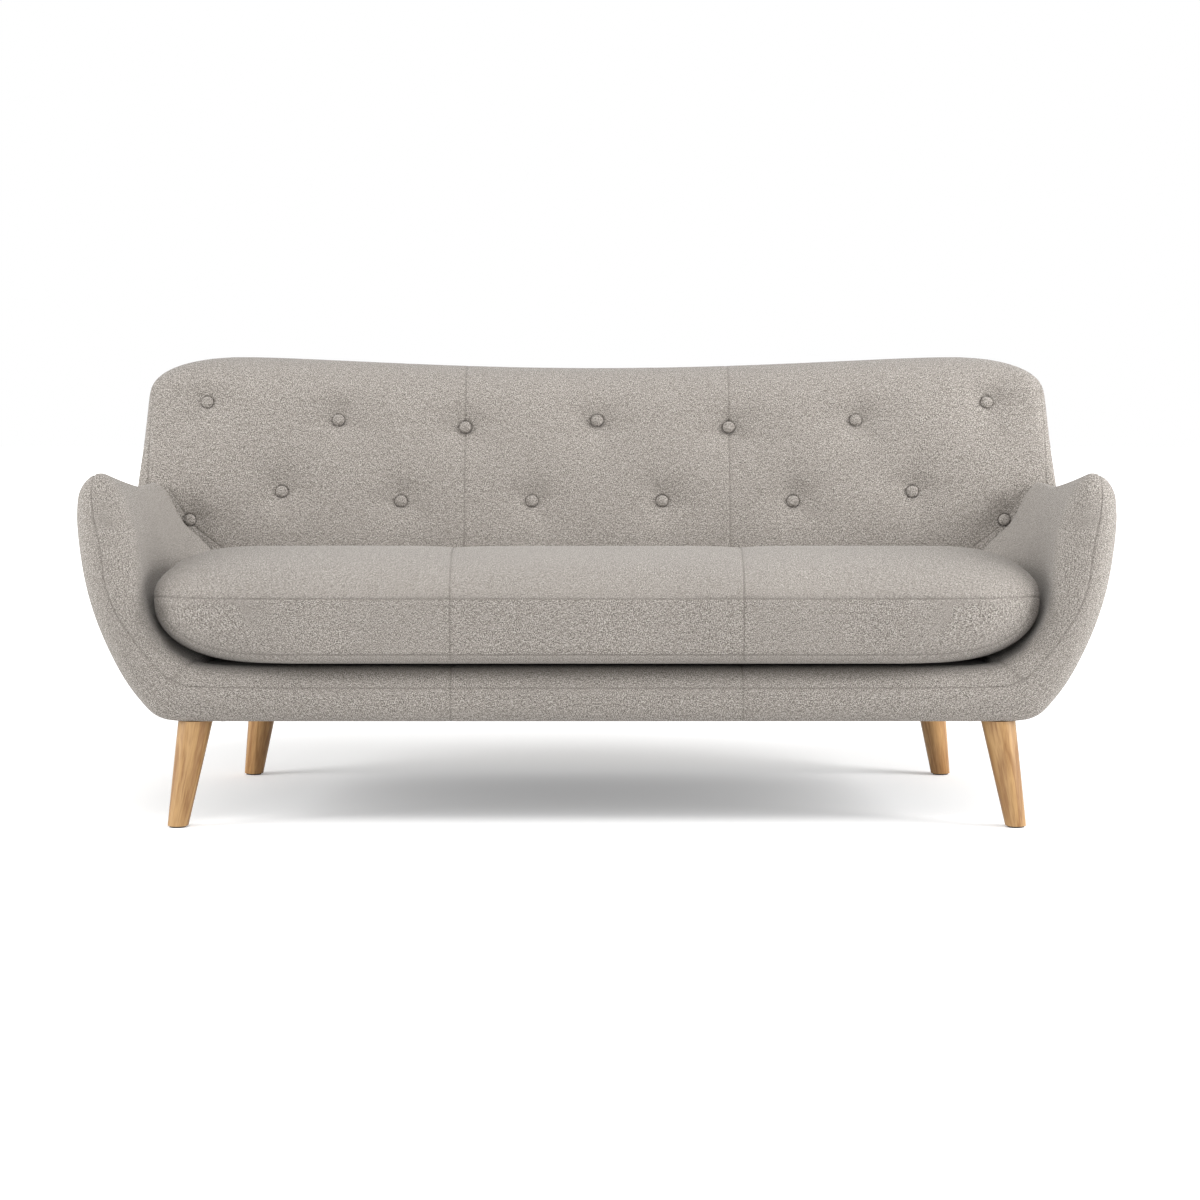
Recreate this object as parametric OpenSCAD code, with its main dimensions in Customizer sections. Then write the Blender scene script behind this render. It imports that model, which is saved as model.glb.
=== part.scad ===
// Three-seat upholstered sofa on turned wooden legs. Millimetres, +Z up, front towards -Y.
// The origin is on the floor, midway between the two sides and midway between front and back.

/* [Overall] */
// Widest point across the two arms
overall_w = 1864; // [1600:1:2300]
// Front of the seat cushion to the back of the top edge
overall_d = 820; // [780:1:880]
// Floor to the underside of the upholstered body
leg_h = 190; // [130:1:250]

/* [Back] */
// Height of the back's shoulders above the body's underside
back_rise = 636; // [600:1:680]
// How far the top line dips in the middle
back_dip = 22; // [0:1:40]
// Set-back of the back's front face from the cushion's nose, at seat level
seat_depth = 565; // [540:1:600]
// Rise over run of the back's front face above the lumbar point
back_rake = 0.37; // [0.25:0.01:0.40]
// Rise over run of the outside back above the rail
outside_rake = 0.222; // [0.15:0.005:0.26]
// How far the ends of the back wrap forward
back_wrap = 28; // [0:1:40]
// Padding left round the edge of the back frame
back_edge_pad = 26; // [18:1:34]

/* [Arms] */
// Height of the arm's front tip above the body's underside
arm_tip_rise = 441; // [420:1:470]
// Height of the arm where it meets the back
arm_rear_rise = 398; // [380:1:415]
// How much the body narrows from front to back, each side, at the base
base_taper = 60; // [40:1:70]
// Set-back of the arms and front roll behind the cushion's nose
body_set_back = 18; // [10:1:30]
// How far the arm's front leans back at its tip
arm_lean = 47; // [20:1:70]
// Depth of the rounding on the arm's front
arm_nose = 52; // [40:1:60]
// Depth of the rounding along the front roll's bottom edge
bottom_nose = 18; // [12:1:30]

/* [Seat] */
// Height of the front roll
roll_h = 94; // [84:1:104]
// Height of the seat deck above the body's underside
deck_h = 100; // [96:1:112]
// Height of the cushion's widest line above the deck
cushion_mid_h = 113; // [100:1:120]
// Height of the cushion's crown above the deck
cushion_crown_h = 194; // [170:1:210]
// Height of the band's lower seam above the deck
band_low_h = 23; // [18:1:30]
// Height of the band's upper seam above the deck
band_high_h = 123; // [116:1:130]
// Gap between the cushion and the arms
cushion_gap = 7; // [3:1:12]

/* [Buttons] */
// Diameter of the covered buttons
button_d = 27; // [20:1:32]
// Depth of the pull round each button
tuft_depth = 15; // [8:1:20]
// Reach of the pull round each button
tuft_reach = 46; // [30:1:60]

/* [Legs] */
// Diameter of a leg at the floor
leg_foot_d = 37; // [28:1:48]
// Diameter of a leg where it meets the body
leg_top_d = 61; // [50:1:68]
// Outward lean of the legs, in degrees
leg_splay = 9.2; // [0:0.1:12]
// Forward or backward lean of the legs, in degrees
leg_rake = 8; // [0:0.5:10]
// Distance of the front legs' tops in from the arms' widest point
front_leg_inset = 212; // [205:1:240]
// Thickness of the glide under each foot
glide_t = 3; // [2:0.5:5]
// Bolt that holds each leg
leg_bolt_d = 8; // [6:1:10]

/* [Frame] */
// Thickness of the frame timber
timber_t = 28; // [22:1:32]
// Height of the seat rails
rail_h = 69; // [60:1:72]
// Thickness of the plywood arm panels
ply_t = 18; // [12:1:22]
// Depth of the back posts
post_d = 38; // [32:1:42]
// Number of sinuous springs in the seat
spring_count = 9; // [7:1:11]
// Wire of the springs
spring_wire = 3.8; // [3.2:0.1:4.5]
// Number of webbing bands across the back
web_count = 6; // [4:1:7]

/* [Hidden] */

clear = 0.3;         // air between soft pieces and their neighbours
half_w = overall_w / 2;
base_z = leg_h;
y_nose = -overall_d / 2;                   // cushion's nose
y_body = y_nose + body_set_back;           // front of the arms and roll
y_tail = overall_d / 2;                    // rearmost point, at the top of the back
y_seat_back = y_nose + seat_depth;         // back's front face at seat level
deck_z = base_z + deck_h;
roll_z = base_z + roll_h;
plate_t = 3;
outside_t = 6;       // thickness of the outside back panel
panel_in = 14;       // margin round it
web_t = 2.4;
rail_z = base_z + plate_t;                 // underside of the timber rails
rail_top = rail_z + rail_h;
clip_h = spring_wire + 2;                  // height of the spring clips on the rails

// ---------------------------------------------------------------- curves and lofts

function mix(a, b, t) = a + (b - a) * t;
function clamp(x, lo, hi) = min(hi, max(lo, x));
function unit(v) = v / norm(v);
function ease(t) = let (u = clamp(t, 0, 1)) u * u * (3 - 2 * u);
function soft_step(s, r) = (s + sqrt(s * s + r * r)) / 2;
// Share of full thickness at distance s behind a rounded nose of depth r.
function nose(s, r, power) = s >= r ? 1 : pow(1 - pow(1 - s / r, power), 1 / power);

// Catmull-Rom point at u, counted in spans, on the control points p.
function on_curve(p, u) =
    let (
        n = len(p) - 1,
        i = min(floor(clamp(u, 0, n)), n - 1),
        t = clamp(u, 0, n) - i,
        a = i == 0 ? 2 * p[0] - p[1] : p[i - 1],
        d = i == n - 1 ? 2 * p[n] - p[n - 1] : p[i + 2]
    )
    0.5 * (2 * p[i] + (p[i + 1] - a) * t + (2 * a - 5 * p[i] + 4 * p[i + 1] - d) * t * t
        + (3 * p[i] - a - 3 * p[i + 1] + d) * t * t * t);

// Skins a list of equal closed sections. Each end is closed by a strip across the section.
// flip is for sections that run the other way round, so that the faces still point outwards.
module loft(sections, flip = false) {
    n = len(sections[0]);
    m = len(sections);
    sides = [
        for (j = [0 : m - 2], i = [0 : n - 1])
            let (a = j * n + i, b = j * n + (i + 1) % n)
            each [[a, b, b + n], [a, b + n, a + n]]
    ];
    strip = [for (k = [0 : n / 2 - 2]) each [[k, n - 1 - k, k + 1], [k + 1, n - 1 - k, n - 2 - k]]];
    last = [for (f = strip) [for (v = f) (m - 1) * n + v]];
    faces = concat(sides, strip, [for (f = last) [f[2], f[1], f[0]]]);
    polyhedron(
        points = [for (s = sections) each s],
        faces = flip ? [for (f = faces) [f[2], f[1], f[0]]] : faces,
        convexity = 10
    );
}

module mirrored(side) {
    mirror([side < 0 ? 1 : 0, 0, 0]) children();
}

// ---------------------------------------------------------------- the body's outline
// Seen from the front the body is a U: a roll along the bottom that turns up into the arms.
// Its outer and inner lines are control points: inward from the widest point, and up from
// the underside. The first four are the bottom roll and its corner, up to the mitre seam.

tip = arm_tip_rise;
low_tip = arm_rear_rise;
outer_front = [
    [430, 0], [300, 0], [197, 0], [147, 7], [115, 34],
    [83, 78], [48, 150], [23, 222], [7, 300], [0, tip - 66], [10, tip - 21], [44, tip]
];
inner_front = [
    [430, roll_h], [340, roll_h], [292, roll_h], [245, roll_h + 2], [208, roll_h + 10],
    [162, roll_h + 38], [132, roll_h + 78], [119, roll_h + 122], [114, roll_h + 172],
    [108, tip - 116], [86, tip - 38], [44, tip]
];
narrow = [for (p = outer_front) base_taper * (1 - 0.55 * p[1] / tip)];
outer_rear = [
    for (i = [0 : len(outer_front) - 1])
        let (p = outer_front[i])
        [p[0] + narrow[i], p[1] > 300 ? mix(300, low_tip, (p[1] - 300) / (tip - 300)) : p[1]]
];
inner_rear = [
    [490, roll_h], [400, roll_h], [352, roll_h], [312, roll_h + 2], [280, roll_h + 12],
    [262, roll_h + 42], [245, roll_h + 84], [226, roll_h + 126], [196, roll_h + 170],
    [130, low_tip - 80], [96, low_tip - 22], [67, low_tip]
];
mitre = 4;                                 // control point at the mitre seam
top = len(outer_front) - 1;                // control point at the arm's ridge
core = top - 2;                            // the ridge rounds about this pair's middle

y_taper_0 = y_body + 62;
y_taper_1 = y_seat_back + 15;
function along(y) = clamp((y - y_taper_0) / (y_taper_1 - y_taper_0), 0, 1.15);
function ridge_fall(y) = 1 - pow(1 - min(along(y), 1), 1.8);

// Point on one of the body's lines at curve position u and depth y, as [x, z].
// The outside tapers straight. The inside stays wide and sweeps inward only near the back.
function body_line(front, rear, u, y, sweep) =
    let (a = on_curve(front, u), b = on_curve(rear, u), t = pow(along(y), sweep))
    [half_w - mix(a[0], b[0], t), base_z + max(0, mix(a[1], b[1], ridge_fall(y)))];
function inner_sweep(u) = mix(1, 2.2, ease((u - mitre) / 2) * ease((core + 1 - u) / 2));
function outer_at(u, y) = body_line(outer_front, outer_rear, u, y, 1);
function inner_at(u, y) = body_line(inner_front, inner_rear, u, y, inner_sweep(u));
function core_at(u, y) = (outer_at(min(u, core), y) + inner_at(min(u, core), y)) / 2;

// Front edge of the arm: it leans back towards the tip.
function arm_front_y(z) =
    y_body + arm_lean * pow(clamp((z - base_z - roll_h) / (tip - roll_h), 0, 1), 2);

// Front face of the back at x and z, without its tufting.
lumbar_z = base_z + 260;
function back_front_y(x, z) =
    y_seat_back + back_rake * soft_step(z - lumbar_z, 70) - 8
    - back_wrap * pow(abs(x) / half_w, 2);
// Outside face of the back: upright at the rail, then raked.
knee_z = base_z + 110;
back_top_z = base_z + back_rise;
tail_z = back_top_z - 34;                  // height of the rearmost point
function outside_y(z) =
    y_tail - outside_rake * (soft_step(tail_z - knee_z, 40) - soft_step(min(z, tail_z) - knee_z, 40));
rail_face_y = outside_y(base_z) - outside_t - post_d - timber_t;  // front of the rear rail
ledge_z = base_z + 108;                    // the back cushion starts above the rear rail
ledge_y = rail_face_y + timber_t + 4;

// Where the rear end of the body's sides meets the back, at height z.
function side_rear_y(x, z) = back_front_y(x, z) - 3 * clear;

// Closed section of the body at curve positions us, at share t of its depth. Its front is
// rounded: wide on the inside and on the arms, tighter along the bottom edge.
function edge_nose(u) = mix(bottom_nose, arm_nose, ease((u - 1.6) / 3.4));
function body_section(us, t, y_end) =
    let (
        pairs = [
            for (u = us)
                let (
                    zf = core_at(u, y_body)[1],
                    y0 = arm_front_y(zf),
                    ends = [outer_at(u, y_taper_1), inner_at(u, y_taper_1)],
                    y1 = y_end == undef ? min([for (e = ends) side_rear_y(e[0], e[1])]) : y_end,
                    s = t * (y1 - y0),
                    y = y0 + s,
                    c = core_at(u, y),
                    o = c + (outer_at(u, y) - c) * nose(s, edge_nose(u), 2.4),
                    i = c + (inner_at(u, y) - c) * nose(s, min(arm_nose, 46), 2.4)
                )
                [[o[0], y, o[1]], [i[0], y, i[1]]]
        ]
    )
    concat([for (p = pairs) p[0]], [for (k = [len(us) - 1 : -1 : 0]) pairs[k][1]]);

// Shares of the depth at which sections stand: close together on the nose.
function stations(depth, r, count) =
    concat([0.15, 1.5, 5, 12, 24, 38, r + 1] / depth, [for (k = [1 : count]) mix((r + 1) / depth, 1, k / count)]);

arm_depth = y_seat_back - y_body;

// ---------------------------------------------------------------- arms and front roll

arm_us = [for (k = [0 : 14]) mitre + (top - 0.07 - mitre) * k / 14];
low_us = [2.2, 2.6, 3, 3.3, 3.7, mitre - 0.03];

module side_rail_plan(grow = 0, inner = timber_t) {
    polygon([
        for (c = [[y_rail_0 - grow, 0], [y_rail_1 + grow, 0]]) [side_rail_x(c[0]) + grow, c[0]],
        for (c = [y_rail_1 + grow, y_rail_0 - grow]) [side_rail_x(c) - inner - grow, c]
    ]);
}

module arm() {
    color("#b0a89f")
        difference() {
            loft([for (t = stations(arm_depth, arm_nose, 8)) body_section(arm_us, t)]);
            translate([0, 0, rail_z]) linear_extrude(rail_h + clear) side_rail_plan(clear, 200);
            arm_frame(clear);
        }
}

// The pad under the arm wraps the side rail's face and top edge, behind the front roll.
module side_pad() {
    y0 = roll_back_y + clear;
    y1 = back_front_y(side_rail_front_x, base_z) - clear;
    color("#aca49b")
        difference() {
            loft(
                [
                    for (k = [0 : 4])
                        let (y = mix(y0, y1, k / 4), x = side_rail_x(y) + clear, z = rail_top + clear)
                        concat(
                            [for (u = low_us) [outer_at(u, y)[0], y, outer_at(u, y)[1]]],
                            [[inner_at(mitre - 0.03, y)[0], y, inner_at(mitre - 0.03, y)[1]]],
                            [[x - timber_t, y, roll_z + 2], [x - timber_t, y, z], [x, y, z]],
                            [[x, y, (z + base_z) / 2], [x, y, base_z + 1]]
                        )
                ]
            );
            arm_frame(clear);
        }
}

roll_back_y = y_body + 76;                 // rear face of the front roll
roll_us = [0, 1, 1.6, 2.2, 2.8, 3.2, 3.6, mitre - 0.02];

module front_roll() {
    depth = roll_back_y - y_body;
    half = [for (t = stations(depth, 46, 1)) body_section(roll_us, t, roll_back_y)];
    n = len(roll_us);
    sections = [
        for (s = half)
            concat(
                [for (k = [n - 1 : -1 : 0]) [-s[k][0], s[k][1], s[k][2]]],
                s,
                [for (k = [2 * n - 1 : -1 : n]) [-s[k][0], s[k][1], s[k][2]]]
            )
    ];
    color("#aaa299")
        difference() {
            loft(sections);
            // Slot for the front rail and the spring clips on it, open behind.
            translate([-rail_end_x - clear, y_rail_0 - timber_t - clear, base_z + 2])
                cube([2 * (rail_end_x + clear), 100, rail_top + clip_h - base_z - 2 + clear]);
            // Rebate below it for the leg plates and the dust cover.
            translate([-rail_end_x - 1, y_rail_0 - timber_t - 1, base_z - 10])
                cube([2 * (rail_end_x + 1), 100, 10 + plate_t + 1]);
        }
}

// ---------------------------------------------------------------- seat rails

y_rail_0 = y_body + 26 + timber_t;         // front end of the side rails
y_rail_1 = ledge_y - 4 - timber_t;         // rear end of the side rails
side_rail_front_x = half_w - 190;
side_rail_slope = base_taper / (y_taper_1 - y_taper_0);
function side_rail_x(y) = side_rail_front_x - side_rail_slope * (y - y_rail_0);
rail_end_x = side_rail_x(y_rail_0);

// Clearance holes for the bolts of the front (1) and rear (-1) legs.
module bolt_holes(end) {
    for (side = [-1, 1])
        mirrored(side) leg_frame(end) cylinder(d = leg_bolt_d + 1, h = 200, center = true, $fn = 32);
}

module front_rail() {
    color("#c9a574")
        difference() {
            translate([-rail_end_x, y_rail_0 - timber_t, rail_z]) cube([2 * rail_end_x, timber_t, rail_h]);
            bolt_holes(1);
        }
}

module rear_rail() {
    x = side_rail_x(y_rail_1);
    color("#c9a574") translate([-x, y_rail_1, rail_z]) cube([2 * x, timber_t, rail_h]);
}

module side_rail() {
    color("#c4a06f")
        difference() {
            translate([0, 0, rail_z]) linear_extrude(rail_h) side_rail_plan();
            bolt_holes(-1);
        }
}

seam_x = (half_w - 151) / 3;               // the sewn seams stand at thirds of the seat

module cross_rail() {
    color("#bd9968")
        translate([seam_x - timber_t / 2, y_rail_0, rail_z])
            cube([timber_t, y_rail_1 - y_rail_0, rail_h - 26]);
}

block = 96;                                // leg of a corner block's triangle
block_h = 40;

module corner_blocks() {
    color("#b8935f")
        for (side = [-1, 1])
            mirrored(side) {
                difference() {
                    translate([0, 0, rail_z]) linear_extrude(block_h)
                        polygon([
                            [side_rail_x(y_rail_0) - timber_t, y_rail_0],
                            [side_rail_x(y_rail_0 + block) - timber_t, y_rail_0 + block],
                            [side_rail_x(y_rail_0) - timber_t - block, y_rail_0]
                        ]);
                    leg_frame(1) cylinder(d = leg_bolt_d + 2, h = 200, center = true, $fn = 32);
                }
                difference() {
                    translate([0, 0, rail_z]) linear_extrude(block_h)
                        polygon([
                            [side_rail_x(y_rail_1) - timber_t, y_rail_1],
                            [side_rail_x(y_rail_1) - timber_t - block, y_rail_1],
                            [side_rail_x(y_rail_1 - block) - timber_t, y_rail_1 - block]
                        ]);
                    leg_frame(-1) cylinder(d = leg_bolt_d + 2, h = 200, center = true, $fn = 32);
                }
            }
}

// ---------------------------------------------------------------- legs

front_leg_y = y_rail_0 - timber_t / 2 + 2;
rear_leg_y = y_rail_1 - 26;
function leg_x(end) = half_w - front_leg_inset - (end > 0 ? 0 : side_rail_slope * (rear_leg_y - front_leg_y));
function leg_y(end) = end > 0 ? front_leg_y : rear_leg_y;

// Puts its children on a leg's axis, at the leg's top, for the front (1) or rear (-1) leg.
module leg_frame(end) {
    translate([leg_x(end), leg_y(end), base_z])
        rotate([end > 0 ? -leg_rake : leg_rake, -leg_splay, 0])
            children();
}

module leg(end) {
    extra = 30;
    flare = (leg_top_d - leg_foot_d) / leg_h;
    color("#c69c6c")
        difference() {
            intersection() {
                leg_frame(end)
                    translate([0, 0, -leg_h - extra])
                        cylinder(
                            d1 = leg_foot_d - extra * flare,
                            d2 = leg_top_d + extra * flare,
                            h = leg_h + 2 * extra,
                            $fn = 96
                        );
                translate([0, -half_w, glide_t]) cube([half_w, 2 * half_w, leg_h - glide_t]);
            }
            leg_frame(end) translate([0, 0, -48]) cylinder(d = leg_bolt_d, h = 80, $fn = 32);
        }
}

plate_w = 76;
plate_hole = 29;                           // screw holes from the plate's middle
plate_shift = 22;                          // the plate's middle lies inward of the leg
function plate_x(end) = leg_x(end) - plate_shift;
function plate_y(end) = leg_y(end) + end * plate_shift;

// Puts its children on the middle of a plate's underside, with +Y pointing inward.
module plate_frame(end) {
    translate([plate_x(end), plate_y(end), base_z]) mirror([0, end > 0 ? 0 : 1, 0]) children();
}

// Three screws hold a plate: the leg's top covers the fourth corner.
module at_plate_holes() {
    for (c = [[-1, -1], [-1, 1], [1, 1]]) translate([c[0] * plate_hole, c[1] * plate_hole, 0]) children();
}

module leg_plates() {
    color("#8c8f92")
        for (side = [-1, 1], end = [-1, 1])
            mirrored(side)
                difference() {
                    plate_frame(end)
                        linear_extrude(plate_t)
                            difference() {
                                square(plate_w, center = true);
                                at_plate_holes() circle(d = 5, $fn = 24);
                            }
                    leg_frame(end) cylinder(d = leg_bolt_d + 1, h = 60, center = true, $fn = 32);
                }
}

module plate_screws() {
    color("#a8abad")
        for (side = [-1, 1], end = [-1, 1])
            mirrored(side)
                plate_frame(end)
                    at_plate_holes() {
                        translate([0, 0, -2]) cylinder(d = 9, h = 2, $fn = 24);
                        translate([0, 0, -2]) cylinder(d = 4.4, h = 2 + plate_t, $fn = 24);
                    }
}

module leg_bolts() {
    color("#9a9da0")
        for (side = [-1, 1], end = [-1, 1])
            mirrored(side)
                leg_frame(end) translate([0, 0, -46]) cylinder(d = leg_bolt_d - 0.4, h = 46 + 38, $fn = 32);
}

module foot_glides() {
    drop = leg_h - glide_t / 2;
    color("#3a3835")
        for (side = [-1, 1], end = [-1, 1])
            mirrored(side)
                translate([
                    leg_x(end) + tan(leg_splay) * drop,
                    leg_y(end) - end * tan(leg_rake) * drop,
                    0
                ])
                    cylinder(d = leg_foot_d - 7, h = glide_t, $fn = 48);
}

// ---------------------------------------------------------------- arm frame

rib_in = 17;                               // padding over the ribs and the arm board
rib_ys = [roll_back_y + 6, y_seat_back - 96];
arm_board_z = base_z + low_tip - 70;       // underside of the board under the arm's top

// Cut from the arm's section at depth y: the middle of the arm, down to the side rail.
module rib_shape(y, grow = 0) {
    us = [for (k = [0 : 9]) mix(mitre + 0.3, core - 0.5, k / 9)];
    m = rib_in - grow;
    slack = grow > 0 ? 10 : 0;             // the cut for a rib runs on past its foot
    outer = [for (u = us) outer_at(u, y) + m * unit(core_at(u, y) - outer_at(u, y))];
    inner = [for (u = us) inner_at(u, y) + m * unit(core_at(u, y) - inner_at(u, y))];
    crown = [0, grow];
    foot_x = side_rail_x(y < 0 ? y : y - ply_t);
    polygon(concat(
        [[foot_x - slack, rail_z + 10 - grow], [foot_x, rail_z + 10 - grow]],
        outer,
        [outer[9] + crown, inner[9] + crown],
        [for (k = [len(us) - 1 : -1 : 0]) inner[k]],
        [[foot_x - grow, rail_top + grow], [foot_x - slack, rail_top + grow]]
    ));
}

// Two ribs stand on the side rail, and a board joins them under the arm's top.
module arm_frame(grow = 0) {
    z = arm_board_z;
    function edge(line, y, s) =
        let (u = [for (k = [5 : 0.05 : core]) let (p = s > 0 ? outer_at(k, y) : inner_at(k, y)) if (p[1] < z + ply_t / 2) p[0]])
        u[len(u) - 1] - s * (rib_in + 6 - grow);
    color("#d2b283") {
        for (y = rib_ys)
            translate([0, y + ply_t + grow, 0])
                rotate([90, 0, 0])
                    linear_extrude(ply_t + 2 * grow)
                        rib_shape(y + (y < 0 ? 0 : ply_t), grow);
        translate([0, 0, z - grow])
            linear_extrude(ply_t + 2 * grow)
                polygon([
                    [edge(0, rib_ys[0], -1), rib_ys[0] + 1], [edge(0, rib_ys[0], 1), rib_ys[0] + 1],
                    [edge(0, rib_ys[1], 1), rib_ys[1] + 1], [edge(0, rib_ys[1], -1), rib_ys[1] + 1]
                ]);
    }
}

// ---------------------------------------------------------------- back frame

// Outline of the back seen from the front: half its width at height z.
arm_line = [
    for (k = [0 : 24])
        let (u = 2 + (core - 2) * k / 24, p = outer_at(u, y_taper_1)) [p[1], p[0]]
];
function shoulder_x(z) =
    let (
        d = back_top_z - z,
        x0 = arm_line[len(arm_line) - 1][1],
        drift = 14 * clamp((z - base_z - 375) / 195, 0, 1)
    )
    x0 - drift - 190 * (1 - nose(d, 78, 2.5));
function back_half_w(z) = z < arm_line[24][0] ? lookup(z, arm_line) : shoulder_x(z);
function top_dip(x) = back_dip * pow(clamp(1 - pow(x / (half_w - 232), 2), 0, 1), 1.5);

// Flat outline of the back, drawn inside the real edge by the given margin.
module back_outline(margin) {
    zs = concat(
        [0, 8, 20, 44, 80, 130, 190, 250, 310, 370, 430, 490, 540],
        [for (d = [70, 50, 34, 22, 12, 6, 2, 0.3]) back_rise - d]
    );
    right = [
        for (z = zs)
            let (s = z / back_rise)
            [back_half_w(base_z + z) - margin, base_z + mix(margin, back_rise - margin, s)]
    ];
    crest_x = right[len(right) - 1][0];
    crest = [
        for (k = [1 : 11])
            let (x = crest_x * (1 - k / 6)) [x, back_top_z - margin - top_dip(x)]
    ];
    polygon(concat(right, crest, [for (k = [len(right) - 1 : -1 : 0]) [-right[k][0], right[k][1]]]));
}

// A slab that follows the outside back, from depth a to depth b in front of it.
module back_layer(a, b) {
    steps = concat([base_z - 60], [for (k = [0 : 12]) base_z + (back_rise + 40) * k / 12]);
    translate([-half_w, 0, 0])
        rotate([90, 0, 90])
            linear_extrude(2 * half_w)
                polygon(concat(
                    [for (z = steps) [outside_y(z) - a, z]],
                    [for (k = [len(steps) - 1 : -1 : 0]) [outside_y(steps[k]) - b, steps[k]]]
                ));
}

// Carries a flat shape, drawn as seen from the front, through the whole depth.
module from_front() {
    rotate([90, 0, 0]) linear_extrude(2 * overall_d, center = true) children();
}

// Timber of the back frame: a flat shape seen from the front, cut from the frame's layer.
module back_timber(depth = post_d) {
    intersection() {
        back_layer(outside_t, outside_t + depth);
        from_front() children();
    }
}

post_x = side_rail_x(y_rail_1) - timber_t - 4;
top_rail_z = back_top_z - 103;             // underside of the back's top rail
lumbar_band = [base_z + 252, base_z + 306];

module back_post() {
    color("#c9a574")
        back_timber()
            translate([post_x, rail_z]) square([timber_t, top_rail_z - rail_z]);
}

module back_mid_posts() {
    color("#c9a574")
        for (side = [-1, 1])
            mirrored(side)
                back_timber() {
                    translate([seam_x - timber_t / 2, rail_z])
                        square([timber_t, lumbar_band[0] - rail_z]);
                    translate([seam_x - timber_t / 2, lumbar_band[1]])
                        square([timber_t, top_rail_z - lumbar_band[1]]);
                }
}

module back_top_rail() {
    color("#d2b283")
        back_timber()
            difference() {
                back_outline(back_edge_pad + clear);
                translate([-half_w, 0]) square([overall_w, top_rail_z]);
            }
}

module back_lumbar_rail() {
    color("#d2b283")
        back_timber()
            intersection() {
                back_outline(back_edge_pad + clear);
                difference() {
                    translate([-half_w, lumbar_band[0]]) square([overall_w, lumbar_band[1] - lumbar_band[0]]);
                    for (s = [-1, 1])
                        translate([s * (post_x + timber_t / 2) - timber_t / 2, 0]) square([timber_t, back_top_z]);
                }
            }
}

// The wing fills the back's flared side, outside the post.
module back_wing() {
    color("#cbab7b")
        back_timber()
            intersection() {
                back_outline(back_edge_pad + clear);
                translate([half_w - 120 - timber_t, lumbar_band[1]])
                    square([300, top_rail_z - lumbar_band[1]]);
            }
}

module back_webbing() {
    from = rail_z + 120;
    to = top_rail_z - 19;
    color("#2f3033")
        intersection() {
            back_layer(outside_t + post_d, outside_t + post_d + web_t);
            for (k = [0 : web_count - 1])
                translate([-post_x - timber_t, y_seat_back - 200, mix(from, to - 50, k / (web_count - 1))])
                    cube([2 * (post_x + timber_t), overall_d, 50]);
        }
}

module outside_back() {
    color("#a69e95")
        intersection() {
            back_layer(0, outside_t);
            from_front() back_outline(panel_in);
        }
}

// ---------------------------------------------------------------- back cushion

// Buttons: distance from the centre line, and height above the body's underside.
button_rows = [
    [0, 513], [seam_x, 500], [511, 514], [770, 549],
    [128, 357], [385, 357], [619, 376], [797, 322]
];
buttons = [
    for (b = button_rows) each b[0] == 0 ? [[0, b[1]]] : [[-b[0], b[1]], [b[0], b[1]]]
];
button_seat = tuft_depth - 2;              // depth of the button's seat in the face
function tuft(x, z) =
    tuft_depth * max([for (b = buttons) exp(-(pow(x - b[0], 2) + pow(z - base_z - b[1], 2)) / (2 * pow(tuft_reach * 0.62, 2)))]);

// How far a rounded edge of radius r stands back from the face, at distance d from the edge.
function set_back(d, r) = r * (1 - nose(max(d, 0.02), r, 2));

front_round = 34;                          // edge radius at the sides of the back's front
rear_round = 10;                           // edge radius round the outside face
top_round = 66;                            // edge radius along the top of the front
face_cols = 60;                            // spans across the tufted face
face_rows = 16;                            // and up it

// Closed section of the back at height z, before the top line's dip.
function back_section(z) =
    let (
        w = back_half_w(z),
        r = mix(7, front_round, ease((z - base_z - low_tip + 20) / 110)),
        dip = ease((z - base_z - 380) / (back_rise - 380)),
        ends = [for (a = [0 : 30 : 90]) 1 - r / w * (1 - cos(a))],
        flat = [for (k = [1 : face_cols - 1]) mix(-1 + r / w, 1 - r / w, k / face_cols)],
        cols = concat(-ends, flat, [for (k = [3 : -1 : 0]) ends[k]]),
        rows = [
            for (c = cols)
                let (
                    x = c * w,
                    d = w - abs(x),
                    drop = back_top_z - z,
                    face = back_front_y(x, z) + tuft(x, z) * ease((z - ledge_z) / 60),
                    yf = face + set_back(d, r) + set_back(drop, top_round),
                    yr = outside_y(z) - set_back(d, rear_round) - set_back(drop, 2 * rear_round)
                )
                [[x, yf, z - dip * top_dip(x)], [x, yr, z - dip * top_dip(x)]]
        ]
    )
    concat([for (p = rows) p[0]], [for (k = [len(rows) - 1 : -1 : 0]) rows[k][1]]);

module back_cushion() {
    zs = concat(
        [for (d = [0, 7, 34, 76]) base_z + d],
        [for (k = [0 : face_rows]) mix(ledge_z, back_top_z - top_round - 40, k / face_rows)],
        [for (d = [76, 56, 40, 27, 16, 8.5, 4, 1.5, 0.3]) back_top_z - d]
    );
    color("#ada59c")
        difference() {
            loft([for (z = zs) back_section(z)], flip = true);
            back_frame_space();
            seat_bay();
            intersection() {
                back_layer(-20, outside_t + clear);
                from_front() back_outline(panel_in - clear);
            }
            for (b = buttons) at_button(b) cylinder(d = button_d + 2 * clear, h = 60, $fn = 32);
        }
}

// The back frame, its webbing and the feet of its posts fill this space.
module back_frame_space() {
    foot = 2 * (post_x + timber_t + clear);
    intersection() {
        back_layer(-20, outside_t + post_d + web_t + clear);
        from_front()
            union() {
                back_outline(back_edge_pad);
                translate([-foot / 2, base_z - 10]) square([foot, 60]);
            }
    }
}

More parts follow.
